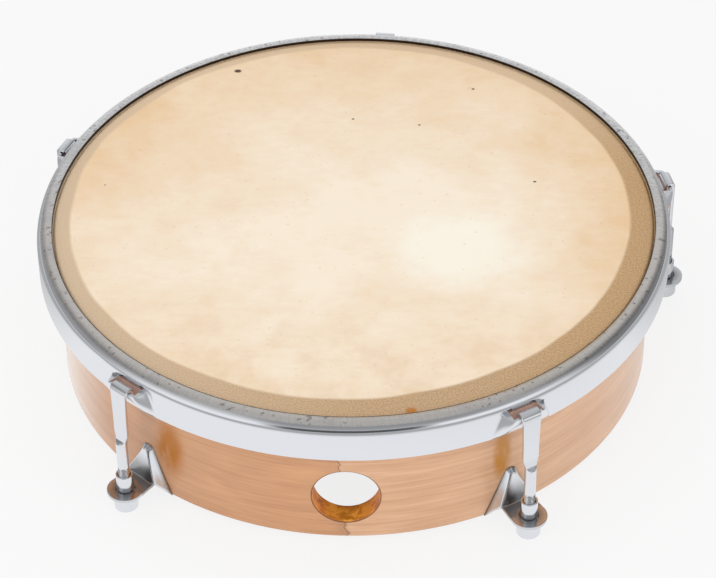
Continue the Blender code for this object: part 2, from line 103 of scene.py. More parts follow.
class DrumSizes(bpy.types.PropertyGroup):
    """Sizes of the drum's pieces."""

    shell_radius: FloatProperty(
        name="Shell radius", description="Outer radius of the wood shell",
        default=0.125, min=0.05, max=0.4, unit="LENGTH")
    shell_wall: FloatProperty(
        name="Shell wall", description="Thickness of the wood shell",
        default=0.0095, min=0.002, max=0.03, unit="LENGTH")
    finger_hole: FloatProperty(
        name="Finger hole", description="Radius of the finger hole",
        default=0.01345, min=0.004, max=0.03, unit="LENGTH")
    finger_hole_rise: FloatProperty(
        name="Finger hole rise",
        description="Height of the finger hole's centre over the lower edge",
        default=0.0219, min=0.01, max=0.1, unit="LENGTH")
    skin: FloatProperty(
        name="Skin", description="Thickness of the skin head",
        default=0.0006, min=0.0001, max=0.003, unit="LENGTH")
    wire: FloatProperty(
        name="Flesh hoop wire", description="Diameter of the wire inside the skin's lap",
        default=0.004, min=0.001, max=0.01, unit="LENGTH")
    hoop_radius: FloatProperty(
        name="Hoop radius", description="Outer radius of the counter hoop's skirt",
        default=0.1330, min=0.05, max=0.4, unit="LENGTH")
    hoop_sheet: FloatProperty(
        name="Hoop sheet", description="Thickness of the hoop's sheet steel",
        default=0.0012, min=0.0005, max=0.004, unit="LENGTH")
    flange_width: FloatProperty(
        name="Flange width", description="Width of the hoop's flat flange",
        default=0.0067, min=0.001, max=0.02, unit="LENGTH")
    pocket_bulge: FloatProperty(
        name="Pocket bulge", description="How far a pocket is pressed out of the skirt",
        default=0.005, min=0.0, max=0.01, unit="LENGTH")
    slot_length: FloatProperty(
        name="Slot length", description="Length of the slot over a pocket",
        default=0.0130, min=0.005, max=0.03, unit="LENGTH")
    shoulder: FloatProperty(
        name="Hoop shoulder", description="Radius of the bend between the flange and the skirt",
        default=0.0048, min=0.001, max=0.01, unit="LENGTH")
    strip_width: FloatProperty(
        name="Hook width", description="Width of a hook's flat part",
        default=0.0086, min=0.003, max=0.02, unit="LENGTH")
    rod_radius: FloatProperty(
        name="Rod radius", description="Radius of a hook's round, threaded part",
        default=0.0024, min=0.001, max=0.005, unit="LENGTH")
    thread_pitch: FloatProperty(
        name="Thread pitch", description="Rise of the thread in one turn",
        default=0.0008, min=0.0003, max=0.002, unit="LENGTH")
    steps_round: IntProperty(
        name="Steps round the drum", description="Facets round the shell, the head and the lap",
        default=288, min=64, max=720)


class DrumColours(bpy.types.PropertyGroup):
    """Colours of the drum's finishes, as linear values."""

    wood: FloatVectorProperty(
        name="Wood", description="Light reddish tan of the shell",
        default=(0.77, 0.46, 0.268), subtype="COLOR", size=3, min=0.0, max=1.0)
    wood_dark: FloatVectorProperty(
        name="Wood grain", description="Darker lines of the shell's grain",
        default=(0.62, 0.325, 0.17), subtype="COLOR", size=3, min=0.0, max=1.0)
    varnish: FloatVectorProperty(
        name="Hole varnish", description="Golden brown inside the finger hole",
        default=(0.92, 0.40, 0.055), subtype="COLOR", size=3, min=0.0, max=1.0)
    skin_light: FloatVectorProperty(
        name="Skin", description="Pale cream of the head's middle",
        default=(0.93, 0.81, 0.655), subtype="COLOR", size=3, min=0.0, max=1.0)
    skin_warm: FloatVectorProperty(
        name="Skin, warm areas", description="Orange tan of the head's far and right parts",
        default=(0.81, 0.57, 0.335), subtype="COLOR", size=3, min=0.0, max=1.0)
    # The edge band's sandy tone is painted shade over the wood
    skin_edge: FloatVectorProperty(
        name="Skin, edge band", description="Sandy tan band over the shell's edge",
        default=(0.50, 0.325, 0.175), subtype="COLOR", size=3, min=0.0, max=1.0)
    zinc: FloatVectorProperty(
        name="Flange", description="Dull grey of the hoop's flange",
        default=(0.74, 0.74, 0.75), subtype="COLOR", size=3, min=0.0, max=1.0)
    chrome: FloatVectorProperty(
        name="Bright metal", description="Bright plating of the skirt and the fittings",
        default=(0.79, 0.81, 0.85), subtype="COLOR", size=3, min=0.0, max=1.0)


# Mesh tools


def quads(rows, columns, close_rows=False, close_columns=False, keep=None):
    """Faces of a grid as one array: each joins (r, c), (r, c+1), (r+1, c+1), (r+1, c)."""
    r = np.arange(rows if close_rows else rows - 1)
    c = np.arange(columns if close_columns else columns - 1)
    r, c = np.meshgrid(r, c, indexing="ij")
    below, beside = (r + 1) % rows, (c + 1) % columns
    faces = np.stack([r * columns + c, r * columns + beside,
                      below * columns + beside, below * columns + c], axis=-1)
    if keep is not None:
        faces = faces[keep]
    return faces.reshape(-1, 4)


class Surface:
    """Vertices, faces and point values of one or more numpy grids."""

    def __init__(self):
        self.points, self.faces, self.values = [], [], []
        self.count = 0

    def grid(self, points, close_rows=False, close_columns=False, value=0.0, keep=None):
        """Add a grid of points (rows, columns, 3) and a 0 to 1 value for each of them."""
        rows, columns = points.shape[:2]
        self.points.append(np.asarray(points, float).reshape(-1, 3))
        self.faces.append(quads(rows, columns, close_rows, close_columns, keep) + self.count)
        self.values.append(np.broadcast_to(np.asarray(value, float), (rows, columns)).reshape(-1))
        self.count += rows * columns

    def build(self, name, attribute=None, merge=1e-6):
        """Make the mesh, weld equal points and turn the faces outward."""
        mesh = bpy.data.meshes.new(name)
        points = np.concatenate(self.points)
        mesh.from_pydata(points.tolist(), [], np.concatenate(self.faces).tolist())
        if attribute:
            layer = mesh.attributes.new(attribute, "FLOAT", "POINT")
            layer.data.foreach_set("value", np.concatenate(self.values).astype(np.float32))
        shape = bmesh.new()
        shape.from_mesh(mesh)
        bmesh.ops.remove_doubles(shape, verts=shape.verts, dist=merge)
        bmesh.ops.dissolve_degenerate(shape, edges=shape.edges, dist=merge)
        bmesh.ops.recalc_face_normals(shape, faces=shape.faces)
        shape.to_mesh(mesh)
        shape.free()
        return mesh


def face_out(mesh):
    """Flip the mesh if its faces, weighed by area, look towards the drum's axis."""
    count = len(mesh.polygons)
    normals, centres, areas = np.empty(count * 3), np.empty(count * 3), np.empty(count)
    for key, values in (("normal", normals), ("center", centres), ("area", areas)):
        mesh.polygons.foreach_get(key, values)
    outward = (normals * centres).reshape(-1, 3)[:, :2].sum(axis=1)
    if outward @ areas < 0:
        mesh.flip_normals()


def spun(r, z, turn):
    """Points (r sin a, -r cos a, z) at radius r and angle a, broadcast together."""
    return np.stack(np.broadcast_arrays(r * np.sin(turn), -r * np.cos(turn), z), axis=-1)


def around(profile, angles):
    """Profile (r, z) carried round the axis."""
    return spun(profile[:, 0][:, None], profile[:, 1][:, None], angles)


def turned(points, angle):
    """Points (..., 3) made at -Y, turned about +Z by an angle towards +X."""
    c, s = math.cos(angle), math.sin(angle)
    return np.asarray(points) @ np.array([[c, s, 0], [-s, c, 0], [0, 0, 1]])


def arc(centre, radius, start, end, steps):
    """Points (x + r cos t, y + r sin t) for t from start to end in degrees."""
    t = np.radians(np.linspace(start, end, steps + 1))
    return np.stack([centre[0] + radius * np.cos(t), centre[1] + radius * np.sin(t)], axis=-1)


def line(start, end, steps):
    """Evenly spaced points from start to end, both included."""
    share = np.linspace(0, 1, steps + 1)[:, None]
    return np.asarray(start) * (1 - share) + np.asarray(end) * share


def rounded(corners, radii, steps=4):
    """A closed outline with each corner replaced by a quadratic curve of its own radius."""
    corners = np.asarray(corners, float)
    before = np.roll(corners, 1, axis=0) - corners
    after = np.roll(corners, -1, axis=0) - corners
    before /= np.linalg.norm(before, axis=1)[:, None]
    after /= np.linalg.norm(after, axis=1)[:, None]
    t = np.linspace(0, 1, steps + 1)[None, :, None]
    reach = np.asarray(radii, float)[:, None, None]
    start = corners[:, None] + before[:, None] * reach
    end = corners[:, None] + after[:, None] * reach
    curve = (1 - t) ** 2 * start + 2 * t * (1 - t) * corners[:, None] + t ** 2 * end
    return curve.reshape(-1, 2)


def smooth_step(x):
    """0 below 0, 1 above 1 and 3x^2 - 2x^3 between."""
    x = np.clip(x, 0, 1)
    return x * x * (3 - 2 * x)


def coat(mesh, finish):
    """Make the material the mesh's only one."""
    mesh.materials.clear()
    mesh.materials.append(finish)


def show(name, mesh, finish, sharp=35.0):
    """Put a mesh in the scene as a smooth object at the origin."""
    mesh.shade_smooth()
    mesh.set_sharp_from_angle(angle=math.radians(sharp))
    coat(mesh, finish)
    piece = bpy.data.objects.new(name, mesh)
    bpy.context.scene.collection.objects.link(piece)
    return piece


def bevel(piece, width, angle=50.0, segments=2):
    """Round the piece's steep edges."""
    edge = piece.modifiers.new("edges", "BEVEL")
    edge.width = width
    edge.segments = segments
    edge.limit_method = "ANGLE"
    edge.angle_limit = math.radians(angle)


def thicken(piece, thickness):
    """Give a sheet its thickness on the inner side."""
    sheet = piece.modifiers.new("sheet", "SOLIDIFY")
    sheet.thickness = thickness
    sheet.offset = -1.0
    sheet.use_even_offset = True


# Material tools


class Field:
    """A shader socket with arithmetic: each operator adds one math node to its tree."""

    def __init__(self, work, socket):
        self.work, self.socket = work, socket

    def __add__(self, other):
        return self.work.math("ADD", self, other)

    def __sub__(self, other):
        return self.work.math("SUBTRACT", self, other)

    def __rsub__(self, other):
        return self.work.math("SUBTRACT", other, self)

    def __mul__(self, other):
        return self.work.math("MULTIPLY", self, other)

    def __abs__(self):
        return self.work.math("ABSOLUTE", self)

    __radd__, __rmul__ = __add__, __mul__

    def clamped(self):
        """The same value held between 0 and 1."""
        self.socket.node.use_clamp = True
        return self

    def ranged(self, low, high, to_low=0.0, to_high=1.0):
        """A smooth step from to_low where the value is low to to_high where it is high."""
        node = self.work.add("ShaderNodeMapRange", interpolation_type="SMOOTHSTEP")
        for socket, given in (("Value", self), ("From Min", low), ("From Max", high),
                              ("To Min", to_low), ("To Max", to_high)):
            self.work.feed(node, socket, given)
        return Field(self.work, node.outputs["Result"])


class Nodes:
    """Short ways to place and join shader nodes in one node tree."""

    def __init__(self, tree):
        self.tree = tree
        self.place = 0

    def add(self, kind, **settings):
        """A new node with its settings, placed in rows of eight."""
        node = self.tree.nodes.new(kind)
        node.location = (self.place % 8 * 190 - 1500, 500 - self.place // 8 * 260)
        self.place += 1
        for key, value in settings.items():
            setattr(node, key, value)
        return node

    def outputs(self, node):
        """A node's outputs by name."""
        return {socket.name: Field(self, socket) for socket in node.outputs}

    def feed(self, node, socket, value):
        """Join a field to a node's input, or set the input's value."""
        if isinstance(value, Field):
            self.tree.links.new(value.socket, node.inputs[socket])
        elif value is not None:
            node.inputs[socket].default_value = value

    def math(self, operation, a, b=None):
        """The result of a math node for one or two values."""
        node = self.add("ShaderNodeMath", operation=operation)
        self.feed(node, 0, a)
        self.feed(node, 1, b)
        return Field(self, node.outputs[0])

    def vector(self, operation, a, b=None):
        """The result of a vector math node, a number for LENGTH."""
        node = self.add("ShaderNodeVectorMath", operation=operation)
        self.feed(node, 0, a)
        self.feed(node, 1, b)
        return Field(self, node.outputs["Value" if operation == "LENGTH" else "Vector"])

    def split(self, vector):
        """The vector's x, y and z."""
        node = self.add("ShaderNodeSeparateXYZ")
        self.feed(node, 0, vector)
        return tuple(self.outputs(node).values())

    def scaled(self, vector, scale, shift=(0, 0, 0)):
        """The vector times a scale, plus a shift."""
        node = self.add("ShaderNodeMapping")
        self.feed(node, "Vector", vector)
        self.feed(node, "Scale", scale)
        self.feed(node, "Location", shift)
        return Field(self, node.outputs["Vector"])

    def noise(self, vector, scale, detail=2.0, roughness=0.5, distortion=0.0):
        """Noise from 0 to 1 with features about 1 / scale metres wide."""
        node = self.add("ShaderNodeTexNoise")
        for socket, value in (("Vector", vector), ("Scale", scale), ("Detail", detail),
                              ("Roughness", roughness), ("Distortion", distortion)):
            self.feed(node, socket, value)
        return Field(self, node.outputs["Fac"])

    def attribute(self, name):
        """A mesh's own point value by name."""
        node = self.add("ShaderNodeAttribute", attribute_name=name)
        return Field(self, node.outputs["Fac"])

    def mixed(self, factor, a, b, blend="MIX"):
        """Colour a at factor 0 and b, or a times b, at factor 1."""
        node = self.add("ShaderNodeMix", data_type="RGBA", blend_type=blend)
        for socket, value in ((0, factor), (6, a), (7, b)):
            plain = socket and not isinstance(value, Field)
            self.feed(node, socket, (*value, 1.0) if plain else value)
        return Field(self, node.outputs[2])

    def spot(self, place, centre, size, edge=0.35):
        """1 near a centre and 0 past a size given along each axis, in metres."""
        moved = self.vector("SUBTRACT", place, centre)
        shrunk = self.scaled(moved, tuple(1 / part for part in size))
        return self.vector("LENGTH", shrunk).ranged(1.0, edge)

    def bump(self, height, strength, distance):
        """A normal tilted by the slope of a height times a distance."""
        node = self.add("ShaderNodeBump")
        for socket, value in (("Strength", strength), ("Distance", distance), ("Height", height)):
            self.feed(node, socket, value)
        return Field(self, node.outputs["Normal"])

    def group(self, tree, **values):
        """A node group's outputs by name, its inputs given by name."""
        node = self.add("ShaderNodeGroup", node_tree=tree)
        for socket, value in values.items():
            self.feed(node, socket.title(), value)
        return self.outputs(node)


def shaded(colour, share):
    """A colour made lighter or darker, held at 1."""
    return tuple(min(1.0, part * share) for part in colour)


def effect(name, inputs, outputs, fill):
    """The named node group, filled by fill(work, entry) the first time it is asked for."""
    found = bpy.data.node_groups.get(name)
    if found:
        return found
    tree = bpy.data.node_groups.new(name, "ShaderNodeTree")
    for label, value in inputs:
        kind = "NodeSocketVector" if value is None else "NodeSocketFloat"
        socket = tree.interface.new_socket(label, in_out="INPUT", socket_type=kind)
        if value is not None:
            socket.default_value = value
    for label in outputs:
        tree.interface.new_socket(label, in_out="OUTPUT", socket_type="NodeSocketFloat")
    work = Nodes(tree)
    entry = work.outputs(work.add("NodeGroupInput"))
    leave = work.add("NodeGroupOutput")
    for label, value in zip(outputs, fill(work, entry)):
        work.feed(leave, label, value)
    return tree


def wear_effect():
    """Fine scratches and cloudy handling marks, used by every metal."""
    def fill(work, entry):
        cloud = work.noise(entry["Vector"], entry["Scale"], 3.0, 0.6)
        stretched = work.scaled(entry["Vector"], (1.0, 6.0, 0.35))
        fine = work.noise(stretched, entry["Scale"] * 9.0, 2.0, 0.7)
        both = cloud * 0.7 + fine.ranged(0.60, 0.72) * 0.3
        return (both * entry["Amount"]).clamped(), fine * entry["Amount"]

    inputs = [("Vector", None), ("Scale", 60.0), ("Amount", 1.0)]
    return effect("Handling wear", inputs, ["Mask", "Height"], fill)


def speckle_effect():
    """Small dark specks with soft edges, used by the skin and the flange."""
    def fill(work, entry):
        grains = work.noise(entry["Vector"], entry["Scale"], 1.0, 0.4)
        return [grains.ranged(entry["Level"], entry["Level"] + 0.07)]

    inputs = [("Vector", None), ("Scale", 500.0), ("Level", 0.7)]
    return effect("Small specks", inputs, ["Mask"], fill)


def material(name, fill, *values):
    """The named material, filled by fill(shader, work, place, ...) when first asked for.

    The place is the object's coordinates, in metres.
    """
    found = bpy.data.materials.get(name)
    if found:
        return found
    made = bpy.data.materials.new(name)
    made.use_nodes = True
    work = Nodes(made.node_tree)
    place = work.outputs(work.add("ShaderNodeTexCoord"))["Object"]
    fill(made.node_tree.nodes["Principled BSDF"], work, place, *values)
    return made


def wood_grain(work, place, colours):
    """Grain colour, broad and fine lines, and pores that run round the shell.

    Each is a noise read from coordinates stretched thin in height.
    """
    broad = work.noise(work.scaled(place, (1, 1, 5)), 9.0, 3.0, 0.55, 0.4)
    lines = work.noise(work.scaled(place, (1, 1, 26)), 26.0, 4.0, 0.62, 0.5)
    pores = work.noise(work.scaled(place, (1, 1, 14)), 150.0, 2.0, 0.6).ranged(0.61, 0.74)
    rings = work.noise(work.scaled(place, (1, 1, 60)), 12.0, 3.0, 0.7, 1.2).ranged(0.60, 0.68)
    grain = broad * 0.45 + lines * 0.55
    colour = work.mixed(grain.ranged(0.34, 0.62), colours.wood_dark, colours.wood)
    colour = work.mixed(broad.ranged(0.50, 0.72) * 0.7, colour, shaded(colours.wood, 1.14))
    colour = work.mixed(rings * 0.35, colour, colours.wood_dark)
    colour = work.mixed(pores * 0.30, colour, colours.wood_dark)
    return colour, grain, lines, pores


def wood_marks(work, place, split, colour, grain):
    """Amber stains by two brackets, darker wood left of the scarf joint with a brown halo and a
    dark line at the joint, and a pale left side painted as a pool of light from the left.

    The joint is a line slanted in height, so its distance is the bearing less a drift.
    """
    wall = bpy.context.scene.drum_sizes.shell_radius
    shape = work.noise(work.scaled(place, (3, 3, 1)), 38.0, 3.0, 0.6)
    for angle, height, size in ((-35.0, -0.0390, (0.0094, 0.0094, 0.0200)),
                                (29.8, -0.0340, (0.0055, 0.0055, 0.0180))):
        a = math.radians(angle)
        near = work.spot(place, (wall * math.sin(a), -wall * math.cos(a), height), size)
        colour = work.mixed(near * shape.ranged(0.34, 0.53) * 0.96, colour, (0.60, 0.235, 0.010))
    x, y, z = split
    bearing = work.math("ARCTAN2", x, y * -1.0)
    wiggle = work.noise(work.scaled(place, (0, 0, 1)), 260.0, 2.0, 0.6) * 0.060 - 0.030
    from_joint = bearing - (z * -0.62 - 0.0395) + wiggle
    darker = from_joint.ranged(0.004, -0.004) * bearing.ranged(-2.6, -1.5)
    colour = work.mixed(darker, colour, (0.85, 0.72, 0.575), "MULTIPLY")
    # Painted light: the left side is paler, a pool of light from a lamp on the left.
    left_light = bearing.ranged(-0.85, -1.30) * bearing.ranged(-2.9, -1.6)
    lit_left_wood = work.mixed(grain.ranged(0.36, 0.60), (0.92, 0.71, 0.56), (0.99, 0.87, 0.77))
    colour = work.mixed(left_light * 0.85, colour, lit_left_wood)
    # A ragged brown halo on the left side of the joint.
    joint_halo = from_joint.ranged(-0.050, -0.004) * from_joint.ranged(0.012, 0.002)
    colour = work.mixed(joint_halo * shape.ranged(0.40, 0.62) * 0.60, colour, (0.42, 0.20, 0.10))
    seam = abs(from_joint).ranged(0.0032, 0.0008) * 0.80
    return work.mixed(seam, colour, (0.20, 0.085, 0.04))


def hole_varnish(work, place, x, bore, colour, colours):
    """Mottled golden varnish in the finger hole, redder at the sides, with dark rims."""
    mottle = work.noise(place, 190.0, 3.0, 0.65, 0.5)
    bright = shaded(colours.varnish, 1.15)
    rich = work.mixed(mottle.ranged(0.40, 0.60), (0.58, 0.21, 0.018), bright)
    red = work.mixed(mottle.ranged(0.40, 0.58), (0.60, 0.15, 0.022), (0.92, 0.31, 0.05))
    rich = work.mixed(abs(x).ranged(0.0025, 0.0120) * 0.75, rich, red)
    rim = (bore * (1.0 - bore) * 4.0).clamped()
    return work.mixed(rim, work.mixed(bore, colour, rich), (0.13, 0.045, 0.015))


def wood_look(shader, work, place):
    """Light varnished wood, its grain running round the shell."""
    colours = bpy.context.scene.drum_colours
    split = work.split(place)
    colour, grain, lines, pores = wood_grain(work, place, colours)
    colour = wood_marks(work, place, split, colour, grain)
    bore = work.attribute("bore")
    work.feed(shader, "Base Color", hole_varnish(work, place, split[0], bore, colour, colours))
    work.feed(shader, "Roughness", lines * 0.20 + 0.36 + bore * 0.10)
    work.feed(shader, "Normal", work.bump(lines * 0.5 - pores * 0.6, 0.35, 0.00012))
    work.feed(shader, "Coat Weight", bore * -0.75 + 0.85)
    shader.inputs["Coat Roughness"].default_value = 0.22


def skin_face(work, place, x, y, mottle, colours):
    """Cream in the middle, warmer with the square of the distance, behind and at the right.

    Brown clouds lie at the front and a ragged pale patch right of the middle.
    """
    cloud = work.noise(place, 14.0, 4.0, 0.6, 0.6)
    streaks = work.noise(work.scaled(place, (1, 2.2, 1)), 120.0, 4.0, 0.7, 0.3)
    ring = work.vector("LENGTH", work.scaled(place, (1 / 0.113, 1 / 0.113, 0.0)))
    lean = ring * ring * 0.52 + (y.ranged(-0.01, 0.05) * 0.20 + x.ranged(0.06, 0.115) * 0.17)
    warm = lean + (cloud * 1.2 - 0.60) + (mottle * 0.7 - 0.35) + (streaks * 0.5 - 0.25)
    colour = work.mixed(warm.clamped(), colours.skin_light, colours.skin_warm)
    brown = (y * -9.0 - 0.42).clamped() * mottle.ranged(0.45, 0.66)
    colour = work.mixed(brown * 0.45, colour, (0.66, 0.45, 0.27))
    ragged = work.noise(place, 55.0, 5.0, 0.7, 0.4) * 0.9 - 0.45
    near = work.spot(place, (0.044, -0.022, 0.0), (0.046, 0.038, 1.0), 0.1)
    return work.mixed((near + ragged).ranged(0.0, 0.95) * 0.80, colour, (0.96, 0.91, 0.79))


def shaded_skin_band(work, sand, x, y, colours):
    """Sandy band over the shell's edge, its darker tone painted shade where the wood stops the
    light coming through the skin: paler left and behind, yellower at the right.
    """
    sandy = work.mixed(sand.ranged(0.36, 0.64), shaded(colours.skin_edge, 0.80),
                       shaded(colours.skin_edge, 1.28))
    sandy = work.mixed((x * -6.0 + 0.05).clamped() * 0.8, sandy, (0.73, 0.575, 0.41))
    sandy = work.mixed(x.ranged(0.05, 0.11) * 0.85, sandy, (0.98, 0.93, 0.80), "MULTIPLY")
    return work.mixed(y.ranged(0.02, 0.11) * 0.70, sandy, (0.76, 0.57, 0.38))


def skin_spots(work, place, mottle, colour):
    """Six dark flecks and an amber knot at fixed places, and fine specks all over."""
    for x, y, size in ((-0.0546, 0.1026, 0.0016), (0.0505, 0.0905, 0.0007),
                       (-0.0021, 0.0676, 0.0006), (0.0270, 0.0637, 0.0006),
                       (0.0765, 0.0243, 0.0007), (-0.1065, 0.0193, 0.0004)):
        fleck = work.spot(place, (x, y, 0.0), (size * 1.3, size, 1.0), 0.5)
        colour = work.mixed(fleck, colour, (0.09, 0.035, 0.015))
    knot = work.spot(place, (0.0258, -0.1212, 0.0), (0.0030, 0.0030, 1.0), 0.40)
    colour = work.mixed(knot, colour, work.mixed(mottle, (0.30, 0.08, 0.01), (0.62, 0.24, 0.02)))
    specks = work.group(speckle_effect(), vector=place, scale=420.0, level=0.70)["Mask"]
    return work.mixed(specks * 0.22, colour, (0.55, 0.36, 0.20))


def skin_look(shader, work, place):
    """Thin natural skin with a sandy edge band, darker there as painted shade over the wood, and a
    reddish lap made paler and glowing as painted light in the slots' shade.

    The band starts where the distance from a point near the head's centre passes the
    band's inner radius, which wanders with a noise. The lap is known by height and radius.
    """
    colours = bpy.context.scene.drum_colours
    x, y, z = work.split(place)
    mottle = work.noise(place, 45.0, 4.0, 0.65, 0.3)
    sand = work.noise(place, 1500.0, 3.0, 0.7)
    centred = work.vector("SUBTRACT", place, (-0.0018, 0.00325, 0.0))
    reach = work.vector("LENGTH", work.scaled(centred, (1, 1, 0)))
    wander = work.noise(place, 22.0, 2.0, 0.5) * 0.0035 - 0.00175
    # Painted shade: the band over the shell's edge is darker, where the wood stops the light that
    # shines through the rest of the skin.
    band = (reach + wander).ranged(0.1168, 0.1186)
    colour = work.mixed(band, skin_face(work, place, x, y, mottle, colours),
                        shaded_skin_band(work, sand, x, y, colours))
    # Painted light on the lap: its pale colour and its glow lift it out of the shade in the hoop's
    # slots.
    lap_light = z.ranged(-0.0030, -0.0046) * reach.ranged(0.1285, 0.1295)
    colour = work.mixed(lap_light, colour, (0.98, 0.73, 0.62))
    work.feed(shader, "Base Color", skin_spots(work, place, mottle, colour))
    work.feed(shader, "Emission Color", work.mixed(lap_light, (0.0, 0.0, 0.0), (0.98, 0.66, 0.55)))
    shader.inputs["Emission Strength"].default_value = 0.10
    work.feed(shader, "Roughness", mottle * 0.22 + 0.36)
    relief = work.noise(place, 900.0, 2.0, 0.6) * 0.25 + mottle * 0.6 + sand * band * 1.2
    work.feed(shader, "Normal", work.bump(relief, 0.35, 0.00012))
    shader.inputs["Sheen Weight"].default_value = 0.05


def hoop_look(shader, work, place):
    """Pressed steel: a dull, wrinkled flange and a bright skirt, by the polish value.

    Wrinkles are a noise of the direction from the axis, so they run across the flange.
    The flange is warmer in front, and near its bore in front a painted reflection of the tan skin
    warms it more. The bore's edge is dark: partly the raw cut edge, partly painted shadow of the
    gap under it.
    """
    colours, sizes = bpy.context.scene.drum_colours, bpy.context.scene.drum_sizes
    x, y, _ = work.split(place)
    polish = work.attribute("polish")
    ray = work.vector("NORMALIZE", work.scaled(place, (1, 1, 0)))
    rays = work.vector("ADD", work.scaled(ray, (120, 120, 0)), work.scaled(place, (90, 90, 90)))
    wrinkle = work.noise(rays, 1.0, 3.0, 0.65)
    blotch = work.noise(place, 90.0, 3.0, 0.6, 0.5)
    fine = work.noise(place, 1100.0, 2.0, 0.6)
    behind = y.ranged(-0.03, 0.05)
    uneven = (wrinkle * 0.45 + fine * 0.55 - 0.5) * (behind * 0.65 + 0.35) + 0.5
    dark, pale = shaded(colours.zinc, 0.84), shaded(colours.zinc, 1.14)
    dull = work.mixed(uneven.ranged(0.38, 0.62), dark, pale)
    dull = work.mixed(1.0 - behind, dull, (0.985, 0.945, 0.895), "MULTIPLY")
    bore = sizes.hoop_radius - sizes.flange_width
    reach = work.vector("LENGTH", work.scaled(place, (1, 1, 0)))
    in_front = y.ranged(-0.02, -0.08) * x.ranged(-0.07, 0.06)
    # Painted reflection of the tan skin on the flange by its bore, in front.
    skin_reflection = reach.ranged(bore + 0.0020, bore + 0.0004) * in_front
    dull = work.mixed(skin_reflection, dull, (0.90, 0.78, 0.64), "MULTIPLY")
    dull = work.mixed(blotch.ranged(0.5, 0.7) * 0.40, dull, (0.56, 0.54, 0.57))
    specks = work.group(speckle_effect(), vector=place, scale=480.0, level=0.650)["Mask"]
    dull = work.mixed(specks * 0.58, dull, (0.20, 0.18, 0.17))
    # Dark bore edge: partly the raw cut edge, partly painted shadow of the gap under it.
    edge_and_gap_shade = reach.ranged(bore + 0.0005, bore + 0.0001)
    colour = work.mixed(polish, dull, colours.chrome)
    work.feed(shader, "Base Color", work.mixed(edge_and_gap_shade, colour, (0.05, 0.035, 0.025)))
    worn = work.group(wear_effect(), vector=place, scale=45.0, amount=1.0)
    keep = 1.0 - polish
    rough = (worn["Mask"] * 0.10 + 0.08) * polish + (wrinkle * 0.20 + 0.20) * keep
    work.feed(shader, "Roughness", rough)
    shader.inputs["Metallic"].default_value = 1.0
    height = (uneven + blotch * 0.5) * keep + worn["Height"] * 0.06
    work.feed(shader, "Normal", work.bump(height, 0.30, 0.0002))


def metal_look(shader, work, place, colour, rough, scale, dark, share):
    """Plated metal with handling wear in its colour, gloss and relief."""
    worn = work.group(wear_effect(), vector=place, scale=scale, amount=1.0)
    work.feed(shader, "Base Color", work.mixed(worn["Mask"] * share, colour, dark))
    work.feed(shader, "Roughness", worn["Mask"] * 0.12 + rough)
    shader.inputs["Metallic"].default_value = 1.0
    work.feed(shader, "Normal", work.bump(worn["Height"], 0.12, 0.0001))


def bracket_look(shader, work, place):
    """Plated sheet with painted shade and reflection from the corner value: darker down the face
    towards the tongue, along the foot and on the tongue by the nut.
    """
    worn = work.group(wear_effect(), vector=place, scale=90.0, amount=1.0)
    cloud = work.noise(place, 260.0, 3.0, 0.6) * 0.5 + 0.75
    # Painted shade: the corner value, broken up by a cloud, darkens the sheet and makes it rougher.
    painted_shade = (work.attribute("corner") * cloud).clamped()
    chrome = bpy.context.scene.drum_colours.chrome
    colour = work.mixed(worn["Mask"] * 0.12, chrome, (0.30, 0.30, 0.31))
    work.feed(shader, "Base Color", work.mixed(painted_shade, colour, (0.17, 0.165, 0.155)))
    work.feed(shader, "Roughness", painted_shade * 0.16 + (worn["Mask"] * 0.10 + 0.10))
    shader.inputs["Metallic"].default_value = 1.0
    work.feed(shader, "Normal", work.bump(worn["Height"], 0.12, 0.0001))


def plated(name):
    """A metal by name: its colour, roughness, wear scale, worn colour and wear's share."""
    chrome = tuple(bpy.context.scene.drum_colours.chrome)
    looks = {
        "Bright plating": (chrome, 0.07, 70.0, (0.30, 0.30, 0.31), 0.10),
        "Zinc plating": ((0.58, 0.59, 0.61), 0.28, 120.0, (0.32, 0.31, 0.30), 0.4),
        "Plain wire": ((0.48, 0.48, 0.49), 0.35, 150.0, (0.20, 0.18, 0.17), 0.5)}
    return material(name, metal_look, *looks[name])


# Pieces


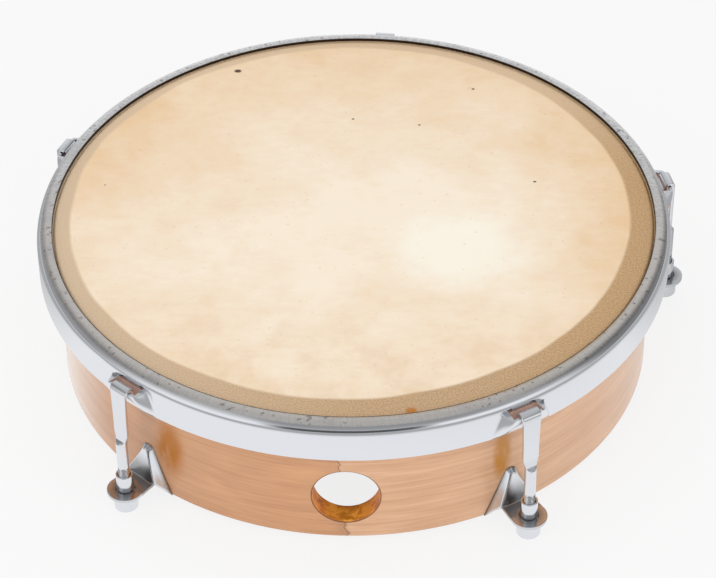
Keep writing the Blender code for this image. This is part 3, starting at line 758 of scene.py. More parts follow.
class DRUM_OT_shell(bpy.types.Operator):
    """Make the wood shell with its rounded edges and finger hole"""

    bl_idname = "drum.shell"
    bl_label = "Wood shell"
    bl_options = {"REGISTER", "UNDO"}

    def execute(self, context):
        sizes = context.scene.drum_sizes
        outer, inner = sizes.shell_radius, sizes.shell_radius - sizes.shell_wall
        low, high = SHELL_LOW.z, SHELL_HIGH.z
        level = low + sizes.finger_hole_rise
        surface = Surface()
        for radius, over in ((outer, BEARING_ROUND), (inner, EDGE_ROUND)):
            self.wall(surface, sizes, radius, level, low + EDGE_ROUND, high - over)
        self.edges(surface, sizes, outer, inner, low, high)
        self.bore(surface, sizes, outer, inner, level)
        mesh = surface.build("wood_shell", "bore")
        shell = show("wood_shell", mesh, material("Bent wood", wood_look))
        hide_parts("shell")
        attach(shell, SHELL_BODY)
        return {"FINISHED"}

    def columns(self, sizes):
        """Angles of the wall's columns, the first HOLE_COLUMNS of them round the hole."""
        margin = 0.006
        half = (sizes.finger_hole + margin) / sizes.shell_radius
        near = np.linspace(-half, half, HOLE_COLUMNS)
        rest = np.linspace(half, math.tau - half, sizes.steps_round - HOLE_COLUMNS + 2)[1:-1]
        return np.concatenate([near, rest])

    def rim(self, u, v):
        """The outline of the block of columns u and rows v, as one loop of (u, v)."""
        first, last = np.zeros(len(u) - 1, int), np.full(len(u) - 1, -1)
        across = np.concatenate([u[:-1], u[last], u[:0:-1], u[first]])
        up = np.concatenate([v[first], v[:-1], v[last], v[:0:-1]])
        return np.stack([across, up], axis=-1)

    def wall(self, surface, sizes, radius, level, low, high):
        """Cylinder (a, z) with a square block left out, filled by rings that run to the hole.

        A ring point is the block's rim point moved by a share t towards the hole's rim
        point at the same bearing, in the flat (distance round, height) of the surface.
        """
        angles = self.columns(sizes)
        reach = angles[HOLE_COLUMNS - 1] * sizes.shell_radius
        heights = np.concatenate([
            np.linspace(low, level - reach, 4)[:-1],
            np.linspace(level - reach, level + reach, HOLE_COLUMNS),
            np.linspace(level + reach, high, 12)[1:]])
        first, span = 3, HOLE_COLUMNS - 1
        keep = np.ones((len(heights) - 1, len(angles)), bool)
        keep[first:first + span, :span] = False
        surface.grid(spun(radius, heights[:, None], angles), False, True, keep=keep)
        rim = self.rim(angles[:HOLE_COLUMNS] * radius, heights[first:first + HOLE_COLUMNS])
        bearing = np.arctan2(rim[:, 1] - level, rim[:, 0])
        opening = sizes.finger_hole + HOLE_ROUND
        across = radius * np.arcsin(opening * np.cos(bearing) / radius)
        hole = np.stack([across, level + opening * np.sin(bearing)], axis=-1)
        t = np.linspace(0, 1, 7)[:, None, None]
        rings = rim * (1 - t) + hole * t
        surface.grid(spun(radius, rings[..., 1], rings[..., 0] / radius), False, True)

    def edges(self, surface, sizes, outer, inner, low, high):
        """Rounded upper and lower edges: a profile (r, z) carried round the shell."""
        wide, small = BEARING_ROUND, EDGE_ROUND
        upper = np.concatenate([
            arc((outer - wide, high - wide), wide, 0, 90, 8),
            line((outer - wide, high), (inner + small, high), 4)[1:],
            arc((inner + small, high - small), small, 90, 180, 4)[1:]])
        lower = np.concatenate([
            arc((inner + small, low + small), small, 180, 270, 4),
            line((inner + small, low), (outer - small, low), 4)[1:],
            arc((outer - small, low + small), small, 270, 360, 4)[1:]])
        for profile in (upper, lower):
            surface.grid(around(profile, self.columns(sizes)), False, True)

    def bore(self, surface, sizes, outer, inner, level):
        """Hole wall: rows from outside to inside, by a tilt t and a share s of the wall.

        The radius is hole + round (1 - sin t). y goes by s from sqrt(outer^2 - x^2) to
        sqrt(inner^2 - x^2), each taken inward by round (1 - cos t), so the ends are round.
        """
        angles = self.columns(sizes)[:HOLE_COLUMNS]
        reach = angles[-1] * sizes.shell_radius
        heights = np.linspace(-reach, reach, HOLE_COLUMNS)
        start, end = (np.unwrap(np.arctan2(rim[:, 1], rim[:, 0])) for rim in (
            self.rim(angles * outer, heights), self.rim(angles * inner, heights)))
        tilt = np.concatenate([np.linspace(0, 90, 7), np.full(6, 90.0), np.linspace(90, 0, 7)])
        share = np.concatenate([np.zeros(7), np.linspace(0, 1, 8)[1:-1], np.ones(7)])
        tilt, share = tilt[:, None], share[:, None]
        opening = sizes.finger_hole + HOLE_ROUND * (1 - np.sin(np.radians(tilt)))
        depth = HOLE_ROUND * (1 - np.cos(np.radians(tilt)))
        bearing = start + (end - start) * share
        x, z = opening * np.cos(bearing), level + opening * np.sin(bearing)
        far, close = np.sqrt(outer ** 2 - x ** 2) - depth, np.sqrt(inner ** 2 - x ** 2) + depth
        points = np.stack([x, -(far + (close - far) * share), z], axis=-1)
        surface.grid(points, False, True, smooth_step(tilt / 55))


class DRUM_OT_head(bpy.types.Operator):
    """Make the skin head, drawn over the shell's edge, and its lap round the flesh hoop"""

    bl_idname = "drum.head"
    bl_label = "Skin head"
    bl_options = {"REGISTER", "UNDO"}

    def execute(self, context):
        sizes = context.scene.drum_sizes
        skin, gap = sizes.skin, CLEARANCE
        angles = np.linspace(0, math.tau, sizes.steps_round, endpoint=False)
        top = SHELL_HIGH.z
        bearing = (sizes.shell_radius - BEARING_ROUND, top - BEARING_ROUND)
        wire_radius = sizes.shell_radius + gap + skin + gap + sizes.wire / 2
        wire_level = HOOP_HIGH.z - sizes.hoop_sheet - gap - skin - gap - sizes.wire / 2
        lap = sizes.wire / 2 + gap
        over = BEARING_ROUND + gap
        rounding = 0.0013
        inside = bearing[0] + over
        corner = (inside + skin - rounding, -rounding)
        # Profile (r, z): out over the face, round the corner, down the collar and back inside.
        profile = np.concatenate([
            line((0, 0), (corner[0], 0), 23),
            arc(corner, rounding, 90, 6, 10)[1:],
            line((inside + skin, bearing[1]), (inside + skin * 0.9, wire_level), 3)[1:],
            line((inside, wire_level), (inside, bearing[1]), 3),
            arc(bearing, over, 6, 90, 10),
            line((bearing[0], -skin), (0, -skin), 23)[1:]])
        surface = Surface()
        surface.grid(around(profile, angles), False, True)
        head = show("skin_head", surface.build("skin_head"), material("Natural skin", skin_look))
        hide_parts("head_skin", "head_collar")
        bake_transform(head)

        # Sections (r, z) from the wire's centre; outside it r wavers by sines of the angle.
        hair, fold, start, end = 0.00005, 0.0004, 0.0004, -0.0092
        reach = wire_radius - (inside + skin) - hair
        out = lap + skin
        wrap = np.concatenate([
            arc((0, 0), out, 185, 452, 28),
            line((-0.0008, out - 0.0001), (fold - reach, out - 0.0006), 3),
            arc((fold - reach, out - 0.0010), fold, 90, 180, 4), [(-reach, 0.0006)],
            arc((0, 0), lap, 165, -175, 32)])
        tail = np.concatenate([
            line((out - hair, start), (out - hair, end), 8),
            arc((out - skin / 2, end), skin / 2 - hair, 0, -180, 5)[1:],
            line((lap, end), (lap, start), 8)[1:]])
        waver = 1 + 0.045 * np.sin(angles * 37) * np.sin(angles * 11 + 0.7)
        waver += 0.02 * np.sin(angles * 83)
        surface = Surface()
        for section in (wrap, tail):
            across, up = section[:, 0][:, None], section[:, 1][:, None]
            across = across * np.where(across > 0, waver, 1.0)
            surface.grid(spun(wire_radius + across, wire_level + up, angles), True, True)
        edge = show("skin_lap", surface.build("skin_lap"), material("Natural skin", skin_look))
        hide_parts("head_collar")
        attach(edge, HOOP_BODY)

        coat(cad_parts["flesh_hoop"].data, plated("Plain wire"))
        return {"FINISHED"}


class DRUM_OT_counter_hoop(bpy.types.Operator):
    """Make the pressed counter hoop with its slotted pockets"""

    bl_idname = "drum.counter_hoop"
    bl_label = "Counter hoop"
    bl_options = {"REGISTER", "UNDO"}

    def execute(self, context):
        sizes = context.scene.drum_sizes
        skirt_radius, low = sizes.hoop_radius, HOOP_LOW.z
        slot_top = HOOP_HIGH.z - 0.0059
        lip = HOOK_HIGH.z - HOOK_SHEET - CLEARANCE
        half = sizes.slot_length / 2
        fade, flare, margin = 0.0035, 0.0045, 0.004
        sides = half + fade * np.linspace(0, 1, 9)
        beyond = sides[-1] + np.linspace(0, margin, 4)[1:]
        offsets = np.concatenate([
            -beyond[::-1], -sides[::-1], np.linspace(-half, half, 17)[1:-1], sides, beyond])
        reach = (beyond[-1] + flare) / skirt_radius
        plain = np.linspace(reach, math.tau / LUGS - reach, 42)[1:-1]
        places = [angle for angle, _ in rod_places()]
        turns = np.concatenate([[*np.full(len(offsets), a), *(a + plain)] for a in places])
        shifts = np.tile(np.concatenate([offsets, np.full(len(plain), np.nan)]), LUGS)
        rows, polish = self.profile(sizes, slot_top, lip, low)
        pressed = ~np.isnan(shifts)
        offset = np.where(pressed, shifts, 0.0)[None, :]
        radius, level = rows[:, 0][:, None], rows[:, 1][:, None]
        # With f from 0 at the skirt's edge to 1 at the lip, a pocket rises by f (2 - f) of
        # its bulge along the slot, less by a smooth step over its sides, and its columns
        # spread round the skirt by flare (1 - f).
        below = level < lip + 1e-4
        fall = np.clip((level - low) / (lip - low), 0, 1)
        spread = flare * (1 - fall)
        side = np.clip((np.abs(offset) - half) / fade, 0, 1)
        press = np.where(below, sizes.pocket_bulge * fall * (2 - fall), 0.0)
        rise = press * (1 - smooth_step(side))
        along = offset * (1 + spread / np.maximum(np.abs(offset), half))
        fade_out = 1 - np.clip((np.abs(offset) - sides[-1]) / margin, 0, 1)
        outer = offset + np.sign(offset) * spread * (0.35 + 0.65 * fade_out)
        along = np.where(np.abs(offset) > sides[-1], outer, along)
        rise = np.where(pressed[None, :], rise, 0.0)
        along = np.where(pressed[None, :], along, 0.0)
        turn = turns[None, :] + along / skirt_radius
        slot_rows = np.where((rows[:-1, 1] <= slot_top + 1e-6) & (rows[1:, 1] >= lip - 1e-6))[0]
        inside = pressed & (np.roll(shifts, -1) <= half + 1e-6) & (shifts >= -half - 1e-6)
        keep = np.ones((len(rows) - 1, len(turns)), bool)
        keep[np.ix_(slot_rows, np.where(inside)[0])] = False
        surface = Surface()
        surface.grid(spun(radius + rise, level, turn), False, True, polish[:, None], keep)
        mesh = surface.build("pressed_hoop", "polish")
        face_out(mesh)
        hoop = show("pressed_hoop", mesh, material("Hoop steel", hoop_look), 42.0)
        thicken(hoop, sizes.hoop_sheet)
        bevel(hoop, 0.0003, 55.0, 2)
        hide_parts("counter_hoop")
        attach(hoop, HOOP_BODY)
        return {"FINISHED"}

    def profile(self, sizes, slot_top, lip, low):
        """Rows (r, z) from the flange's bore over the shoulder and down, and their polish."""
        radius, high, shoulder = sizes.hoop_radius, HOOP_HIGH.z, sizes.shoulder
        corner = (radius - shoulder, high - shoulder)
        skirt = line((radius, lip), (radius, low), 22)
        skirt[0, 1] -= 1e-5
        rows = np.concatenate([
            line((radius - sizes.flange_width, high), (corner[0], high), 6),
            arc(corner, shoulder, 90, 0, 16)[1:],
            line((radius, corner[1]), (radius, slot_top), 2)[1:],
            line((radius, slot_top), (radius, lip), 3)[1:], skirt])
        reach = np.clip((rows[:, 0] - corner[0]) / shoulder, 0, 1)
        return rows, smooth_step((reach - 0.45) / 0.30)


class DRUM_OT_hooks(bpy.types.Operator):
    """Make the hooks: flat and bent in at the top, round and threaded below"""

    bl_idname = "drum.hooks"
    bl_label = "Hooks"
    bl_options = {"REGISTER", "UNDO"}

    def execute(self, context):
        sizes = context.scene.drum_sizes
        points = self.shape(sizes)
        for number, (angle, _) in enumerate(rod_places(), 1):
            surface = Surface()
            surface.grid(turned(points, angle), False, True)
            mesh = surface.build("forged_hook_%d" % number)
            hook = show("forged_hook_%d" % number, mesh, plated("Bright plating"), 40.0)
            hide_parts("hook_%d" % number)
            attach(hook, HOOP_BODY)
        return {"FINISHED"}

    def shape(self, sizes):
        """A section carried down a path (r, z).

        The section is a box of half width w and half thickness t whose corners have
        radius c, so w = t = c gives a circle. Where the flat runs out, the section is an
        ellipse cut off by the flat's rising face, which leaves the forged notch. The
        thread adds a triangle wave of height / pitch - turn, which runs out at the top.
        """
        half, thick, round_rod = sizes.strip_width / 2, HOOK_SHEET / 2, sizes.rod_radius
        lip_radius = sizes.hoop_radius + sizes.pocket_bulge
        strip = lip_radius + CLEARANCE + thick
        tip = lip_radius - sizes.hoop_sheet - 0.0007 - thick
        crest = HOOK_HIGH.z - thick
        low = crest - 0.0225
        bend, edge, neck, waist = 0.0015, 0.00032, 0.0055, half - 0.0007
        rod, end = ROD_DISTANCE, HOOK_LOW.z
        shank_top, thread_top = low - neck, end + 0.0142
        path = np.concatenate([
            line((tip, crest - 0.003), (tip, crest - bend), 3),
            arc((tip + bend, crest - bend), bend, 180, 90, 8)[1:],
            arc((strip - bend, crest - bend), bend, 90, 0, 8)[1:],
            line((strip, crest - bend), (strip, low), 10)[1:]])
        forge = np.linspace(0, 1, 15)[1:]
        shift = strip + (rod - strip) * smooth_step(forge)
        flat_rows = len(path)
        path = np.concatenate([
            path, np.stack([shift, low - neck * forge], -1),
            line((rod, shank_top), (rod, thread_top), 8)[1:],
            line((rod, thread_top), (rod, end + 0.0004), 150)[1:], [(rod, end)]])
        w, t, c, face = np.full((4, len(path)), round_rod)
        taper = np.linspace(0, 1, flat_rows)
        w[:flat_rows] = half + (waist - half) * smooth_step((taper - 0.45) / 0.5)
        t[:flat_rows], c[:flat_rows] = thick, edge
        forged = slice(flat_rows, flat_rows + len(forge))
        w[forged] = waist + (round_rod - waist) * smooth_step(forge * 1.1)
        face[forged] = thick + (round_rod - thick) * np.clip((forge - 0.78) / 0.22, 0, 1)
        w[-1] = t[-1] = c[-1] = round_rod - 0.0005
        c = np.minimum(c, np.minimum(w, t))
        quarter = np.radians(np.linspace(0, 90, 13))
        phi = np.concatenate([quarter + math.pi / 2 * i for i in range(4)])
        side_u = np.repeat([1, -1, -1, 1], 13)
        side_v = np.repeat([1, 1, -1, -1], 13)
        depth = path[:, 1][:, None]
        phase = (depth / sizes.thread_pitch - phi[None, :] / math.tau) % 1.0
        run_out = smooth_step((thread_top - depth) / 0.0012)
        ring = c[:, None] - 0.00042 * np.abs(phase * 2 - 1) * run_out
        u = side_u * (w - c)[:, None] + ring * np.cos(phi)
        v = side_v * (t - c)[:, None] + ring * np.sin(phi)
        share = smooth_step(forge / 0.3)[:, None]
        wide, face = w[forged, None], face[forged, None]
        box_u = side_u * (wide - edge) + edge * np.cos(phi)
        box_v = side_v * (thick - edge) + edge * np.sin(phi)
        u[forged] = box_u * (1 - share) + wide * np.cos(phi) * share
        v[forged] = box_v * (1 - share) + np.clip(round_rod * np.sin(phi), -face, face) * share
        along = np.gradient(path, axis=0)
        along /= np.linalg.norm(along, axis=1)[:, None]
        r = path[:, :1] - v * along[:, 1:]
        z = path[:, 1:] + v * along[:, :1]
        points = np.stack([u, -r, z], axis=-1)
        caps = [np.broadcast_to(row.mean(axis=0), row.shape)[None] for row in points[[0, -1]]]
        return np.concatenate([caps[0], points, caps[1]])


class DRUM_OT_brackets(bpy.types.Operator):
    """Make the pressed sheet brackets, each with a tongue that carries a nut"""

    bl_idname = "drum.brackets"
    bl_label = "Brackets"
    bl_options = {"REGISTER", "UNDO"}

    def execute(self, context):
        sizes = context.scene.drum_sizes
        for number, (angle, _) in enumerate(rod_places(), 1):
            surface = Surface()
            self.tent(surface, sizes, angle)
            self.tongue(surface, sizes, angle)
            mesh = surface.build("sheet_bracket_%d" % number, "corner", merge=2e-6)
            face_out(mesh)
            plating = material("Bracket plating", bracket_look)
            bracket = show("sheet_bracket_%d" % number, mesh, plating, 40.0)
            thicken(bracket, 0.0013)
            bevel(bracket, 0.0002, 60.0, 2)
            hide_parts("bracket_%d" % number)
            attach(bracket, SHELL_BODY)
        return {"FINISHED"}

    def levels(self):
        """Heights of the tongue, the face's base, the foot's apex and the face's apex."""
        tongue, apex = SHELL_LOW.z + 0.0074, SHELL_LOW.z + 0.0221
        return tongue, tongue + TONGUE_BEND, apex, apex - 0.0014

    def half_loop(self, apex_round, apex, end_u, end_z, arc_steps, side_steps):
        """From the apex down one side: an arc, then the straight line it runs into."""
        centre = apex - apex_round
        drop = centre - end_z
        lean = math.acos(apex_round / math.hypot(end_u, drop)) - math.atan2(drop, end_u)
        curve = arc((0, centre), apex_round, 90, math.degrees(lean), arc_steps)
        return np.concatenate([curve, line(curve[-1], (end_u, end_z), side_steps)[1:]])

    def full_loop(self, *shape):
        """Both sides of a half loop, from one end over the apex to the other."""
        half = self.half_loop(*shape)
        return np.concatenate([half[::-1], half[1:] * (-1, 1)])

    def stand(self, z, apex, base):
        """How far the leaning face stands off the shell, evenly more from apex to base."""
        least, most = 0.0023, 0.0056
        return least + (most - least) * (apex - z) / (apex - base)

    def tent(self, surface, sizes, angle):
        """Rows from the foot on the shell, up the wall, round the rim and in to the middle.

        The rim is a quadratic curve between a wall point and a face point with the sharp
        corner as its middle control. Face rows shrink the loop sideways to its spine.
        """
        _, base, apex, face_apex = self.levels()
        steps = (12, 12)
        foot = self.full_loop(0.0030, apex, 0.0119, SHELL_LOW.z, *steps)
        corner = self.full_loop(0.0016, face_apex, 0.0076, base, *steps)
        inner = self.full_loop(0.0010, face_apex - 0.0006, TONGUE_HALF, base, *steps)
        shell = sizes.shell_radius
        foot_r = np.sqrt((shell + 0.00004) ** 2 - foot[:, 0] ** 2)
        corner_r = shell + self.stand(corner[:, 1], face_apex, base)
        inner_r = shell + self.stand(inner[:, 1], face_apex, base)
        a, b, c = (np.stack([loop[:, 0], -r, loop[:, 1]], -1) for loop, r in (
            (foot, foot_r), (corner, corner_r), (inner, inner_r)))
        length = np.linalg.norm(b - a, axis=1)[:, None]
        wall = b + (a - b) * np.minimum(0.0008 / length, 0.45)
        share = np.linspace(0, 1, 7)[1:]
        rows = [a + (wall - a) * t for t in np.linspace(0, 1, 5)]
        rows += [(1 - t) ** 2 * wall + 2 * t * (1 - t) * b + t ** 2 * c for t in share]
        rows += [c * (1 - t, 1, 1) for t in share]
        rows = np.array(rows)
        # Corner value as painted shade: the face darkens lower down towards the tongue, and the
        # foot's first rows are a painted shadow line against the shell.
        inward = np.concatenate([np.zeros(8), [0.3, 0.7, 1.0], np.ones(6)])[:, None]
        foot_shadow = np.concatenate([[1.0, 0.3], np.zeros(15)])[:, None]
        drop = smooth_step((face_apex - 0.0015 - rows[..., 2]) / 0.0085)
        value = np.maximum(inward * drop * BRACKET_SHADE, foot_shadow)
        surface.grid(turned(rows, angle), value=value)

    def tongue(self, surface, sizes, angle):
        """The bend out of the face's base line, then rings from the outline to the hole."""
        level, base, _, face_apex = self.levels()
        out = sizes.shell_radius + self.stand(base, face_apex, base)
        half = TONGUE_HALF
        u = np.concatenate([-half * np.linspace(1, 0, 7), half * np.linspace(0, 1, 7)[1:]])
        bend = arc((out + TONGUE_BEND, base), TONGUE_BEND, 180, 270, 5)
        points = np.stack(np.broadcast_arrays(u, -bend[:, :1], bend[:, 1:]), axis=-1)
        # The bend gets painted shade at the full corner value.
        surface.grid(turned(points, angle), value=BRACKET_SHADE)
        edge, tip, opening = bend[-1, 0], 0.0075, 0.0042
        outline = np.concatenate([
            np.stack([u, np.full(len(u), edge)], -1),
            line((half, edge), (tip, ROD_DISTANCE), 6)[1:],
            arc((0, ROD_DISTANCE), tip, 0, 180, 30)[1:],
            line((-tip, ROD_DISTANCE), (-half, edge), 6)[1:-1]])
        bearing = np.arctan2(outline[:, 1] - ROD_DISTANCE, outline[:, 0])
        hole = np.stack([opening * np.cos(bearing), ROD_DISTANCE + opening * np.sin(bearing)], -1)
        t = np.linspace(0, 1, 6)[:, None, None]
        rings = outline[None] * (1 - t) + hole[None] * t
        points = np.stack([rings[..., 0], -rings[..., 1], np.full(rings.shape[:2], level)], axis=-1)
        # Painted shade on the tongue: dark from the face to round the nut, lighter towards its
        # outer end.
        from_rod = np.hypot(points[..., 0], points[..., 1] + ROD_DISTANCE)
        before = points[..., 1] < -ROD_DISTANCE + 0.002
        value = 0.62 - 0.45 * smooth_step((from_rod - 0.0040) / 0.0032) * before
        surface.grid(turned(points, angle), False, True, value)


class DRUM_OT_nuts(bpy.types.Operator):
    """Make the sleeve nuts with their round heads and hexagon sockets"""

    bl_idname = "drum.nuts"
    bl_label = "Tuning nuts"
    bl_options = {"REGISTER", "UNDO"}

    def execute(self, context):
        sizes = context.scene.drum_sizes
        for number, (angle, distance) in enumerate(rod_places(), 1):
            surface = Surface()
            points = self.shape(sizes) + (0.0, -distance, 0.0)
            surface.grid(turned(points, angle), True, True)
            mesh = surface.build("sleeve_nut_%d" % number)
            nut = show("sleeve_nut_%d" % number, mesh, plated("Bright plating"), 38.0)
            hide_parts("tuning_nut_%d" % number)
            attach(nut, "nut_body_%d" % number)
        return {"FINISHED"}

    def shape(self, sizes):
        """A closed profile (r, z) turned round the rod.

        In the socket rows the radius at bearing a is half the width across flats over
        the cosine of a taken to the nearest flat's middle, which draws a hexagon.
        """
        bottom, top = NUT_LOW.z, NUT_HIGH.z
        head_top, socket_top = bottom + 0.0078, bottom + 0.0045
        bore, sleeve, head, flats = sizes.rod_radius + CLEARANCE, 0.0035, 0.0050, 0.0025
        key = flats / math.cos(math.pi / 6)
        corners = [(bore, top), (sleeve, top), (sleeve, head_top), (head, head_top),
                   (head, bottom), (key, bottom), (key, socket_top), (bore, socket_top + 0.0002)]
        radii = [0.00025, 0.00035, 0.00015, 0.0006, 0.0009, 0.0002, 0.0001, 0.0001]
        profile = rounded(corners, radii, 5)
        bearing = np.linspace(0, math.tau, 73)[:-1]
        nearest = (bearing + math.pi / 6) % (math.pi / 3) - math.pi / 6
        hexagon = flats / np.cos(nearest) / key
        r, z = profile[:, :1], profile[:, 1:]
        in_socket = (r < key + 0.0003) & (z < socket_top + 0.00005)
        return spun(r * np.where(in_socket, hexagon, 1.0), z, bearing)


class DRUM_OT_fasteners(bpy.types.Operator):
    """Make the slotted screws and washers inside the shell, and finish the nuts behind"""

    bl_idname = "drum.fasteners"
    bl_label = "Bracket fasteners"
    bl_options = {"REGISTER", "UNDO"}

    def execute(self, context):
        level = SHELL_LOW.z + 0.0112
        seat = self.seat(context.scene.drum_sizes)
        for number, (angle, _) in enumerate(rod_places(), 1):
            for name, node, points, close in (
                    ("slotted_screw_%d" % number, "bracket_screw_%d" % number, self.screw(), False),
                    ("flat_washer_%d" % number, "washer_%d" % number, self.washer(), True)):
                x, z, out = np.moveaxis(points, -1, 0)
                placed = np.stack([x, out - seat, level + z], axis=-1)
                surface = Surface()
                surface.grid(turned(placed, angle), close, True)
                piece = show(name, surface.build(name), plated("Zinc plating"), 38.0)
                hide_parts(node)
                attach(piece, SHELL_BODY)
            coat(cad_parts["bracket_nut_%d" % number].data, plated("Zinc plating"))
        return {"FINISHED"}

    def seat(self, sizes):
        """Distance of the washer's outer face from the drum's axis."""
        inner = sizes.shell_radius - sizes.shell_wall
        return math.sqrt(inner ** 2 - WASHER_RADIUS ** 2) - CLEARANCE

    def screw(self):
        """Sections across the slot: at each x the outline runs over the head and back.

        The head's height is a low dome, dropped by the slot's depth where |x| is under
        half the slot's width, with two sections at that x so the slot's walls stand.
        """
        radius, top, depth, under, slot = 0.0040, 0.0034, 0.0011, 0.0011, 0.0005
        far = radius * np.sin(np.linspace(-math.pi / 2, math.pi / 2, 25))
        left, right = far[far < -slot - 1e-5], far[far > slot + 1e-5]
        x = np.concatenate([left, [-slot, -slot, 0.0, slot, slot], right])[:, None]
        cut = np.zeros(x.shape)
        cut[len(left) + 1:len(left) + 4] = depth
        y = np.sqrt(np.maximum(radius ** 2 - x ** 2, 0)) * np.linspace(-1, 1, 25)
        from_axis = np.clip(np.hypot(x, y) / radius, 0, 1)
        dome = 0.0004 * from_axis ** 2 + 0.0009 * np.clip((from_axis - 0.72) / 0.28, 0, 1) ** 2
        over = np.stack(np.broadcast_arrays(x, y, top - dome - cut), axis=-1)
        back = np.stack(np.broadcast_arrays(x, y[:, ::-1], under), axis=-1)
        return np.concatenate([over, back], axis=1)

    def washer(self):
        """A flat ring with broken edges: a closed profile (r, z) turned round the screw."""
        bore, rim, thick = 0.0022, WASHER_RADIUS, 0.0008
        outline = rounded([(bore, 0), (rim, 0), (rim, thick), (bore, thick)], [0.00015] * 4, 3)
        bearing = np.linspace(0, math.tau, 49)[:-1]
        return around(outline, bearing) * (1, -1, 1)


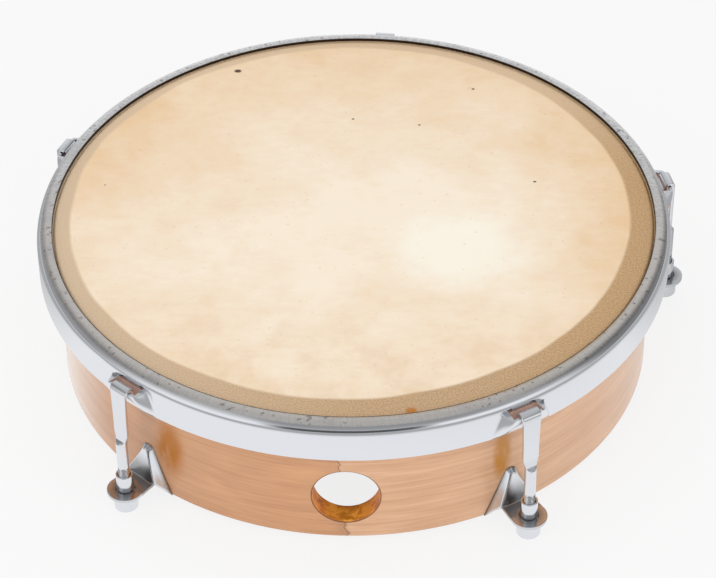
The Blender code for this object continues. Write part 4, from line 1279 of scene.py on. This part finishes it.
class DRUM_OT_stage(bpy.types.Operator):
    """Set the floor, the soft lights, the world and the camera"""

    bl_idname = "drum.stage"
    bl_label = "Floor, lights and camera"
    bl_options = {"REGISTER", "UNDO"}

    def execute(self, context):
        scene = context.scene
        self.floor()
        self.world(scene)
        self.lights()
        self.camera(scene)
        scene.view_settings.view_transform = "Standard"
        return {"FINISHED"}

    def seen(self, work):
        """1 for camera, glossy and transmission rays, 0 for light that falls on things."""
        rays = work.outputs(work.add("ShaderNodeLightPath"))
        sight = (rays["Is Camera Ray"] + rays["Is Glossy Ray"]).clamped()
        return (sight + rays["Is Transmission Ray"]).clamped(), rays["Is Glossy Ray"]

    def floor(self):
        """A flat white floor that the nuts' heads stand on."""
        half, level = 6.0, NUT_LOW.z - 0.0001
        corners = [(-half, -half, level), (half, -half, level),
                   (half, half, level), (-half, half, level)]
        mesh = bpy.data.meshes.new("floor")
        mesh.from_pydata(corners, [], [(0, 1, 2, 3)])
        mesh.materials.append(material("Pale floor", self.paint))
        floor = bpy.data.objects.new("floor", mesh)
        bpy.context.scene.collection.objects.link(floor)

    def paint(self, shader, work, place):
        """White that glows for the camera, darker in reflections in front and at the sides."""
        tone = work.noise(place, 3.0, 2.0, 0.5)
        work.feed(shader, "Base Color", work.mixed(tone, (0.80, 0.80, 0.80), (0.82, 0.82, 0.82)))
        shader.inputs["Roughness"].default_value = 0.9
        shader.inputs["Specular IOR Level"].default_value = 0.0
        seen, glossy = self.seen(work)
        x, y, _ = work.split(place)
        x = abs(x)
        reach = work.vector("LENGTH", work.scaled(place, (1, 1, 0), (0.03, 0, 0)))
        front = reach.ranged(0.19, 0.34) * y.ranged(0.16, 0.02)
        side = (y * 1.2 + x).ranged(0.10, 0.26) * (y * -0.6 + x).ranged(-0.05, 0.12)
        fall = work.math("MAXIMUM", front, side) * x.ranged(0.45, 1.20, 0.60, 0.22)
        fall = work.math("MAXIMUM", fall, y.ranged(0.08, 0.20) * 0.14)
        glow = work.add("ShaderNodeEmission")
        glow.inputs["Color"].default_value = (0.975, 0.975, 0.975, 1)
        work.feed(glow, "Strength", 1.0 - fall * glossy)
        mix = work.add("ShaderNodeMixShader")
        work.feed(mix, 0, seen * 0.86)
        work.tree.links.new(shader.outputs[0], mix.inputs[1])
        work.tree.links.new(glow.outputs[0], mix.inputs[2])
        work.tree.links.new(mix.outputs[0], work.tree.nodes["Material Output"].inputs["Surface"])

    def world(self, scene):
        """Even pale surroundings, white to the camera.

        In reflections the ceiling and both sides are dimmer, and the front has a dark
        panel, a near black patch in its middle and a darker floor.
        """
        world = bpy.data.worlds.new("Studio")
        scene.world = world
        world.use_nodes = True
        work = Nodes(world.node_tree)
        background = world.node_tree.nodes["Background"]
        seen, glossy = self.seen(work)
        across, away, rise = work.split(work.outputs(work.add("ShaderNodeTexCoord"))["Generated"])
        width = abs(across)
        ceiling = rise.ranged(0.22, 0.80) * 0.42
        walls = (away * 0.2 + width).ranged(0.38, 0.80) * across.ranged(0.20, 0.60, 0.62, 0.76)
        walls = walls * away.ranged(-0.55, 0.10)
        panel = rise.ranged(0.32, 0.50) * rise.ranged(0.97, 0.80) * 0.42
        panel = panel * across.ranged(-0.50, -0.30)
        middle = rise.ranged(0.00, 0.08) * rise.ranged(0.50, 0.36) * 0.90
        middle = middle * width.ranged(0.50, 0.32)
        low = rise.ranged(0.06, -0.02) * width.ranged(0.60, 0.30, 0.20, 0.62)
        front = work.math("MAXIMUM", middle, work.math("MAXIMUM", panel, low))
        front = front * away.ranged(-0.15, -0.50)
        left = (1.0 - front) * (1.0 - ceiling) * (1.0 - walls)
        background.inputs["Color"].default_value = (0.955, 0.955, 0.955, 1)
        work.feed(background, "Strength", (seen * 0.38 + 0.62) * (1.0 - (1.0 - left) * glossy))

    def lights(self):
        """Three large soft lamps: one over the drum and one from each side of the front."""
        for name, place, size, power in (
                ("overhead", (-0.20, 0.25, 1.5), 1.6, 8.5),
                ("front_left", (-1.3, -1.4, 0.75), 1.5, 11.0),
                ("front_right", (1.3, -1.5, 0.75), 1.7, 13.0)):
            lamp = bpy.data.lights.new(name, "AREA")
            lamp.size = size
            lamp.energy = power
            holder = bpy.data.objects.new(name, lamp)
            holder.location = place
            holder.rotation_euler = (-Vector(place)).to_track_quat("-Z", "Y").to_euler()
            holder.visible_glossy = False
            bpy.context.scene.collection.objects.link(holder)

    def camera(self, scene):
        """A camera fitted to the photograph: height, distance, aim point and a small roll."""
        rise, roll, swing = math.radians(38.6425), math.radians(-0.70074), math.radians(2.06)
        distance, focal, pixels, sensor = 1.24386, 2960.44, 716.0, 36.0
        place = Vector((0, -distance * math.cos(rise), distance * math.sin(rise)))
        aim = Vector((0.001408, -0.049555, 0))
        ahead = (aim - place).normalized()
        right = ahead.cross(Vector((0, 0, 1))).normalized()
        up = right.cross(ahead)
        side = right * math.cos(roll) + up * math.sin(roll)
        top = up * math.cos(roll) - right * math.sin(roll)
        basis = Matrix((side, top, -ahead)).transposed().to_4x4()
        data = bpy.data.cameras.new("photo_view")
        data.sensor_fit = "HORIZONTAL"
        data.sensor_width = sensor
        data.lens = focal * sensor / pixels
        data.clip_start, data.clip_end = 0.01, 50.0
        holder = bpy.data.objects.new("photo_view", data)
        lift = Matrix.Translation((0, 0, HOOP_HIGH.z)) @ Matrix.Rotation(swing, 4, "Z")
        holder.matrix_world = lift @ Matrix.Translation(place) @ basis
        scene.collection.objects.link(holder)
        scene.camera = holder


class DRUM_PT_panel(bpy.types.Panel):
    """Lists the drum's pieces, sizes and colours"""

    bl_idname = "DRUM_PT_panel"
    bl_label = "Hand drum"
    bl_space_type = "VIEW_3D"
    bl_region_type = "UI"
    bl_category = "Drum"

    def draw(self, context):
        layout = self.layout
        for name in ORDER:
            layout.operator("drum." + name)
        for group in (context.scene.drum_sizes, context.scene.drum_colours):
            box = layout.box()
            for key in group.bl_rna.properties.keys():
                if key not in {"rna_type", "name"}:
                    box.prop(group, key)


ORDER = ("shell", "head", "counter_hoop", "hooks", "brackets", "nuts", "fasteners", "stage")

CLASSES = (DrumSizes, DrumColours, DRUM_OT_shell, DRUM_OT_head, DRUM_OT_counter_hoop, DRUM_OT_hooks,
           DRUM_OT_brackets, DRUM_OT_nuts, DRUM_OT_fasteners, DRUM_OT_stage, DRUM_PT_panel)


def register():
    """Register the classes and give the scene its sizes and colours."""
    for made in CLASSES:
        bpy.utils.register_class(made)
    bpy.types.Scene.drum_sizes = PointerProperty(type=DrumSizes)
    bpy.types.Scene.drum_colours = PointerProperty(type=DrumColours)


def unregister():
    """Undo what register does."""
    del bpy.types.Scene.drum_colours
    del bpy.types.Scene.drum_sizes
    for made in reversed(CLASSES):
        bpy.utils.unregister_class(made)


def main():
    """Make every piece in order."""
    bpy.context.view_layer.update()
    register()
    for name in ORDER:
        getattr(bpy.ops.drum, name)()


if __name__ == "__main__":
    main()
